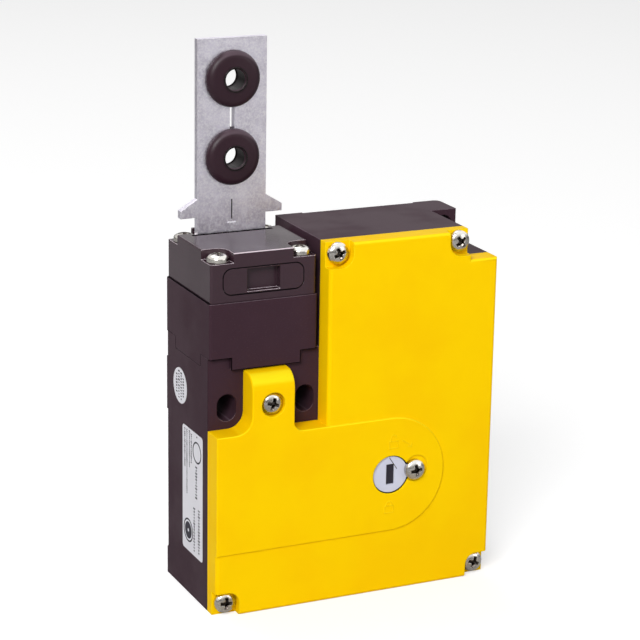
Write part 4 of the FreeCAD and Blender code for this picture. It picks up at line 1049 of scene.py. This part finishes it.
@dataclass
class Marks:
    """Raised open and closed padlock marks and the turning arrow beside the release."""

    bead: float = 0.34
    size: float = 2.6
    open_at: Spot = (0.5, 9.4)
    closed_at: Spot = (-0.5, -8.7)
    sweep_at: Spot = (-1.2, 0.9)
    sweep_radius: float = 9.4
    sweep: tuple[float, float] = (64.0, 42.0)
    barbs: tuple[Point, Point] = ((-1.0, 0.0, 0.3), (0.1, 0.0, 1.1))
    body_share: float = 0.75
    shackle_share: float = 0.62
    rise_share: float = 0.15
    lift_share: float = 0.2

    def padlock(self, at: Spot, open_: bool) -> list[BMesh]:
        """Builds the outline of one padlock.

        Args:
            at: The middle of the shackle's feet, from the release's axis.
            open_: Whether the shackle has one end free.

        Returns:
            The beads that draw it.
        """
        x, z = RELEASE[0] + at[0], RELEASE[1] + at[1]
        size, half, foot = self.size, self.size / 2, self.size / 2 * self.shackle_share
        body = [(a, FACE, b) for a, b in rectangle(x - half, z - size * self.body_share,
                                                   x + half, z)]
        body = [*body, body[0]]
        rise = size * (self.rise_share + (self.lift_share if open_ else 0.0))
        bow = [(x - foot, FACE, z), *arc((x, z + rise), foot, 180, 0, FACE)]
        if not open_:
            bow.append((x + foot, FACE, z))
        return [bent(body, self.bead, "padlock"), bent(bow, self.bead, "shackle")]

    def build(self) -> None:
        beads = self.padlock(self.open_at, True) + self.padlock(self.closed_at, False)
        middle = (RELEASE[0] + self.sweep_at[0], RELEASE[1] + self.sweep_at[1])
        sweep = arc(middle, self.sweep_radius, *self.sweep, FACE)
        beads.append(bent(sweep, self.bead, "sweep"))
        tip = Vector(sweep[-1])
        first, second = (tip + Vector(barb) for barb in self.barbs)
        beads.append(bent([first, tip, second], self.bead, "tip"))
        add("release_marks", joined(beads), YELLOW, "switch_body", "yellow_plastic")


@dataclass
class Seams:
    """Dark beads of painted shadow in the joints of the head and round its plug, and a dark strip
    of painted shade along the slot in front of the tongue.
    """

    post: float = 3.3
    side_post: float = 6.15
    right_post: float = 4.65
    corner: float = 0.5
    cap_ends: tuple[float, float] = (0.6, 0.4)
    cap_inset: float = 0.35
    cap_share: float = 0.6
    width: float = 0.36
    cap_width: float = 0.48
    plug_width: float = 0.34
    plug_half: float = 11.2
    plug_top: float = 92.88
    plug_height: float = 6.98
    plug_round: float = 2.4
    plug_share: float = 0.35
    proud: float = 0.03
    slot_shade_half: float = 11.3
    slot_shade_depth: tuple[float, float] = (9.1, 10.0)
    slot_shade_sunk: float = 0.1
    slot_shade_rise: float = 0.06

    def build(self) -> None:
        top = SEAM + self.post
        x = LEFT - self.proud + self.width / 2
        y = FRONT - self.proud + self.width / 2
        near, far = FRONT + self.side_post, BACK - self.side_post
        post_left, post_right = LEFT + self.side_post, RIGHT - self.right_post
        round_base = [(x, BACK, top), (x, far, top), (x, far, SEAM), (x, near, SEAM),
                      (x, near, top), (x, y + self.corner, top), (x + self.corner, y, top),
                      (post_left, y, top), (post_left, y, SEAM), (post_right, y, SEAM),
                      (post_right, y, top), (RIGHT, y, top)]
        side, level = LEFT + self.cap_inset * self.cap_share, CAP_LEVEL + self.proud
        round_cap = [(side, BACK - self.cap_ends[1], level),
                     (side, FRONT + self.cap_ends[0], level)]
        # Painted shadow along the joints of the cap, the base and the posts.
        seam_shades = joined([bent(round_base, self.width, "base_lip"),
                       bent(round_cap, self.cap_width, "cap_lip")])
        add("head_seam_lips", seam_shades, GAP, "switch_body", "black_rubber")
        self.plug()
        self.slot_shade()

    def slot_shade(self) -> None:
        # Painted shade along the slot in front of the tongue.
        strip = slab(rectangle(HEAD_X - self.slot_shade_half, HEAD_TOP - self.slot_shade_sunk,
                               HEAD_X + self.slot_shade_half, HEAD_TOP + self.slot_shade_rise),
                     *self.slot_shade_depth)
        add("slot_wiper", strip, GAP, "switch_body", "black_rubber")

    def plug(self) -> None:
        corner = self.plug_round
        y = FRONT + self.cap_inset + self.plug_width * self.plug_share
        left, right = HEAD_X - self.plug_half + corner, HEAD_X + self.plug_half - corner
        high, low = self.plug_top - corner, self.plug_top - self.plug_height + corner
        spots = []
        for turn, middle in enumerate(((right, high), (left, high), (left, low), (right, low))):
            spots += arc(middle, corner, turn * 90, turn * 90 + 90, y, 8)
        # Painted shadow round the slot plug.
        add("slot_plug_lip", bent([*spots, spots[0]], self.plug_width, "lip"), GAP,
            "switch_body", "black_rubber")


@dataclass
class Printing:
    """Plain strokes and rings in place of print on the two labels.

    Each row is the middle of a line of print as y, and its low and high end as z. Each
    ring is its middle as (y, z) and its outer and inner radius.
    """

    repeater: Repeater
    lift: float = 0.02
    small: tuple[Point, ...] = ((5.6, 34.9, 45.8), (4.1, 28.1, 45.9), (2.3, 36.0, 46.0),
                                (1.0, 37.5, 45.5))
    bold: tuple[Point, ...] = ((-2.5, 28.7, 37.4), (-2.9, 45.6, 45.9), (-1.1, 12.9, 25.4),
                               (-4.4, 13.3, 25.8))
    sticker: tuple[Point, ...] = ((11.4, 54.2, 59.2), (9.8, 53.0, 60.4), (8.2, 53.0, 60.2),
                                  (6.7, 54.0, 59.0))
    rings: tuple[tuple[Spot, float, float], ...] = (
        ((3.1, 17.9), 3.3, 2.85), ((3.1, 17.9), 2.35, 0.5), ((-3.0, 41.6), 3.0, 2.55))

    def bar(self, height: float, thickness: float) -> Object:
        """Builds one stroke that lies on the left side.

        Args:
            height: Its size across the line of print.
            thickness: Its size along the line.

        Returns:
            The model, taken out of the scene again.
        """
        bm = bmesh.new()
        bmesh.ops.create_cube(bm, size=1.0, matrix=Matrix.Diagonal(
            (2 * self.lift * MM, height * MM, thickness * MM, 1.0)))
        return set_aside(to_object("bar", bm))

    def ring(self, middle: Spot, outer: float, inner: float) -> BMesh:
        """Builds a flat ring on the left side."""
        return turned(flat_ring(inner, outer, self.lift, 48), 90, "Y", (LEFT, *middle))

    def lines(self, name: str, rows: Sequence[Point], height: float, thickness: float,
              pitch: float) -> None:
        """Builds lines of strokes in place of print and sets them on their body.

        Args:
            name: The piece's name.
            rows: For each line its middle as y, and its low and high end as z.
            height: The strokes' height, across the line.
            thickness: Their thickness, along the line.
            pitch: Their pitch along the line.
        """
        bar = self.bar(height, thickness)
        seats = [(LEFT, y, high - pitch * k) for y, low, high in rows
                 for k in range(int((high - low) / pitch) + 1)]
        dress(self.repeater.place(name, seats, bar, INK_AND_SLOT_SHADE.material(),
                                  smallest=(1.0, 0.45, 0.7), largest=(1.0, 1.1, 1.3)),
              "switch_body", "white_label")
        bpy.data.objects.remove(bar)

    def build(self) -> None:
        self.lines("rating_label_small_print", self.small, 0.8, 0.3, 0.52)
        self.lines("rating_label_bold_print", self.bold, 1.25, 0.42, 0.85)
        self.lines("sticker_print", self.sticker, 1.0, 0.4, 0.8)
        rings = joined([self.ring(*ring) for ring in self.rings])
        add("rating_label_rings", rings, INK_AND_SLOT_SHADE, "switch_body", "white_label")


@dataclass
class Frame:
    """The frame's own nodes, dressed in place or as softened copies."""

    copies: tuple[str, ...] = ("cover", "housing", "head_base", "head_cap", "slot_plug",
                               "conduit_plug", "tongue_plate", "release_spindle")
    polished: tuple[str, ...] = ("head_cap", "slot_plug")

    def finishes(self) -> dict[str, Material]:
        """Builds the material of each of the record's slots."""
        table = {"black_plastic": BLACK, "yellow_plastic": YELLOW, "black_rubber": RUBBER,
                 "white_label": LABEL, "zinc_steel": ZINC, "bright_steel": STEEL,
                 "dark_steel": DARK_STEEL, "tongue_steel": TONGUE_STEEL,
                 "block_plastic": PALE, "contact_brass": BRASS, "copper_winding": COPPER,
                 "cam_plastic": ACETAL, "release_plastic": LAVENDER}
        return {slot: finish.material() for slot, finish in table.items()}

    def build(self) -> None:
        """Gives every node its finish, and smooth merged copies to the plain shells."""
        finishes = self.finishes()
        slots = {row["node"]: row["material_slot"] for row in frame["record"]["subparts"]}
        for name, node in frame["nodes"].items():
            finish = finishes[slots[name]]
            node.data.materials.clear()
            node.data.materials.append(finish)
            if name in self.copies:
                bm = bmesh.new()
                bm.from_mesh(node.data)
                bmesh.ops.remove_doubles(bm, verts=bm.verts[:], dist=0.002 * MM)
                bmesh.ops.dissolve_limit(bm, angle_limit=math.radians(0.3), verts=bm.verts[:],
                                         edges=bm.edges[:])
                copy = to_object(f"{name}_shell", bm,
                                 CAP.material() if name in self.polished else finish)
                flatten(copy)
                dress(copy, node["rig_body"], slots[name], name)
        log.info("%d nodes dressed", len(slots))


@dataclass
class Studio:
    """Pale floor, white surroundings, soft lamps and the camera.

    Each lamp is its name, its place and its side in metres, and its watts.
    """

    camera_at: Point = (-245.1, -515.0, 239.2)
    target: Point = (-2.36, 3.38, 72.03)
    roll: float = 0.96
    lens: float = 125.7
    ambient: float = 0.30
    floor_tone: float = 0.6
    floor_mirrored: float = 0.5
    floor_glow: float = 0.55
    lamps: tuple[tuple[str, Point, float, float], ...] = (
        ("key", (-0.78, -0.92, 0.92), 0.6, 17.5), ("fill", (0.9, -1.0, 0.35), 0.6, 2.0),
        ("top", (-0.1, 0.6, 1.25), 0.7, 4.0))
    lit_middle: Point = (0.0, 0.0, 0.07)

    def camera(self) -> None:
        """Makes the camera and gives it to the scene."""
        data = bpy.data.cameras.new("camera")
        data.lens, data.sensor_width = self.lens, 36.0
        data.clip_start, data.clip_end = 0.01, 20.0
        made = show(bpy.data.objects.new("camera", data))
        look = Vector(self.target) - Vector(self.camera_at)
        turn = look.to_track_quat("-Z", "Y").to_matrix() @ Matrix.Rotation(
            math.radians(self.roll), 3, "Z")
        made.matrix_world = Matrix.Translation(Vector(self.camera_at) * MM) @ turn.to_4x4()
        bpy.context.scene.camera = made

    def lamp(self, name: str, at: Point, size: float, watts: float) -> None:
        """Makes one soft square lamp that looks at the middle of the switch.

        Args:
            name: The lamp's name.
            at: Its place in metres.
            size: Its side in metres.
            watts: Its power.
        """
        data = bpy.data.lights.new(name, "AREA")
        data.shape, data.size, data.energy = "SQUARE", size, watts
        made = show(bpy.data.objects.new(name, data))
        aim = Vector(self.lit_middle) - Vector(at)
        made.matrix_world = Matrix.Translation(Vector(at)) @ aim.to_track_quat(
            "-Z", "Y").to_matrix().to_4x4()

    def world(self) -> None:
        """Lights the surroundings evenly and shows them white."""
        world = bpy.data.worlds.new("studio")
        bpy.context.scene.world = world
        world.use_nodes = True
        world.node_tree.nodes.clear()
        graph = Graph(world.node_tree)
        path = graph.node("ShaderNodeLightPath")
        sees = graph.math("MAXIMUM", path.outputs["Is Camera Ray"],
                          path.outputs["Is Transmission Ray"])
        up = graph.along("Z", graph.node("ShaderNodeTexCoord").outputs["Generated"])
        mirrored = graph.ramp(up, -0.05, 0.4, 0.10, 0.95)
        lit = graph.math("ADD", self.ambient, graph.math(
            "MULTIPLY", path.outputs["Is Glossy Ray"],
            graph.math("SUBTRACT", mirrored, self.ambient)))
        strength = graph.math("MAXIMUM", sees, lit)
        shade = graph.node("ShaderNodeBackground", {"Color": (1, 1, 1, 1),
                                                    "Strength": strength})
        graph.node("ShaderNodeOutputWorld", {"Surface": shade.outputs[0]})

    def floor(self) -> None:
        """Makes the pale floor under the switch."""
        bm = bmesh.new()
        bmesh.ops.create_grid(bm, x_segments=1, y_segments=1, size=6.0)
        bmesh.ops.translate(bm, verts=bm.verts[:], vec=(0, 0, -0.00002))
        material = bpy.data.materials.new("pale floor")
        material.use_nodes = True
        graph = Graph(material.node_tree)
        graph.tree.nodes.clear()
        path = graph.node("ShaderNodeLightPath")
        seen = path.outputs["Is Camera Ray"]
        tone = graph.blend(path.outputs["Is Glossy Ray"], rgba((self.floor_tone,) * 3),
                           rgba((self.floor_mirrored,) * 3))
        diffuse = graph.node("ShaderNodeBsdfDiffuse", {"Color": tone})
        glow = graph.node("ShaderNodeEmission", {
            "Color": (1, 1, 1, 1),
            "Strength": graph.math("MULTIPLY", seen, self.floor_glow)})
        both = graph.node("ShaderNodeAddShader", {0: diffuse.outputs[0], 1: glow.outputs[0]})
        graph.node("ShaderNodeOutputMaterial", {"Surface": both.outputs[0]})
        to_object("floor", bm, material)

    def build(self) -> None:
        """Builds the whole studio."""
        self.camera()
        self.world()
        self.floor()
        for lamp in self.lamps:
            self.lamp(*lamp)
        bpy.context.scene.view_settings.view_transform = "Standard"


def main() -> None:
    """Builds the dressed switch and its studio."""
    logging.basicConfig(level=logging.INFO, format="%(message)s")
    repeater = Repeater("on seats")
    Studio().build()
    Frame().build()
    Fasteners(repeater).build()
    Tongue(repeater).build()
    Release(repeater).build()
    Marks().build()
    Seams().build()
    Printing(repeater).build()


if __name__ == "__main__":
    main()
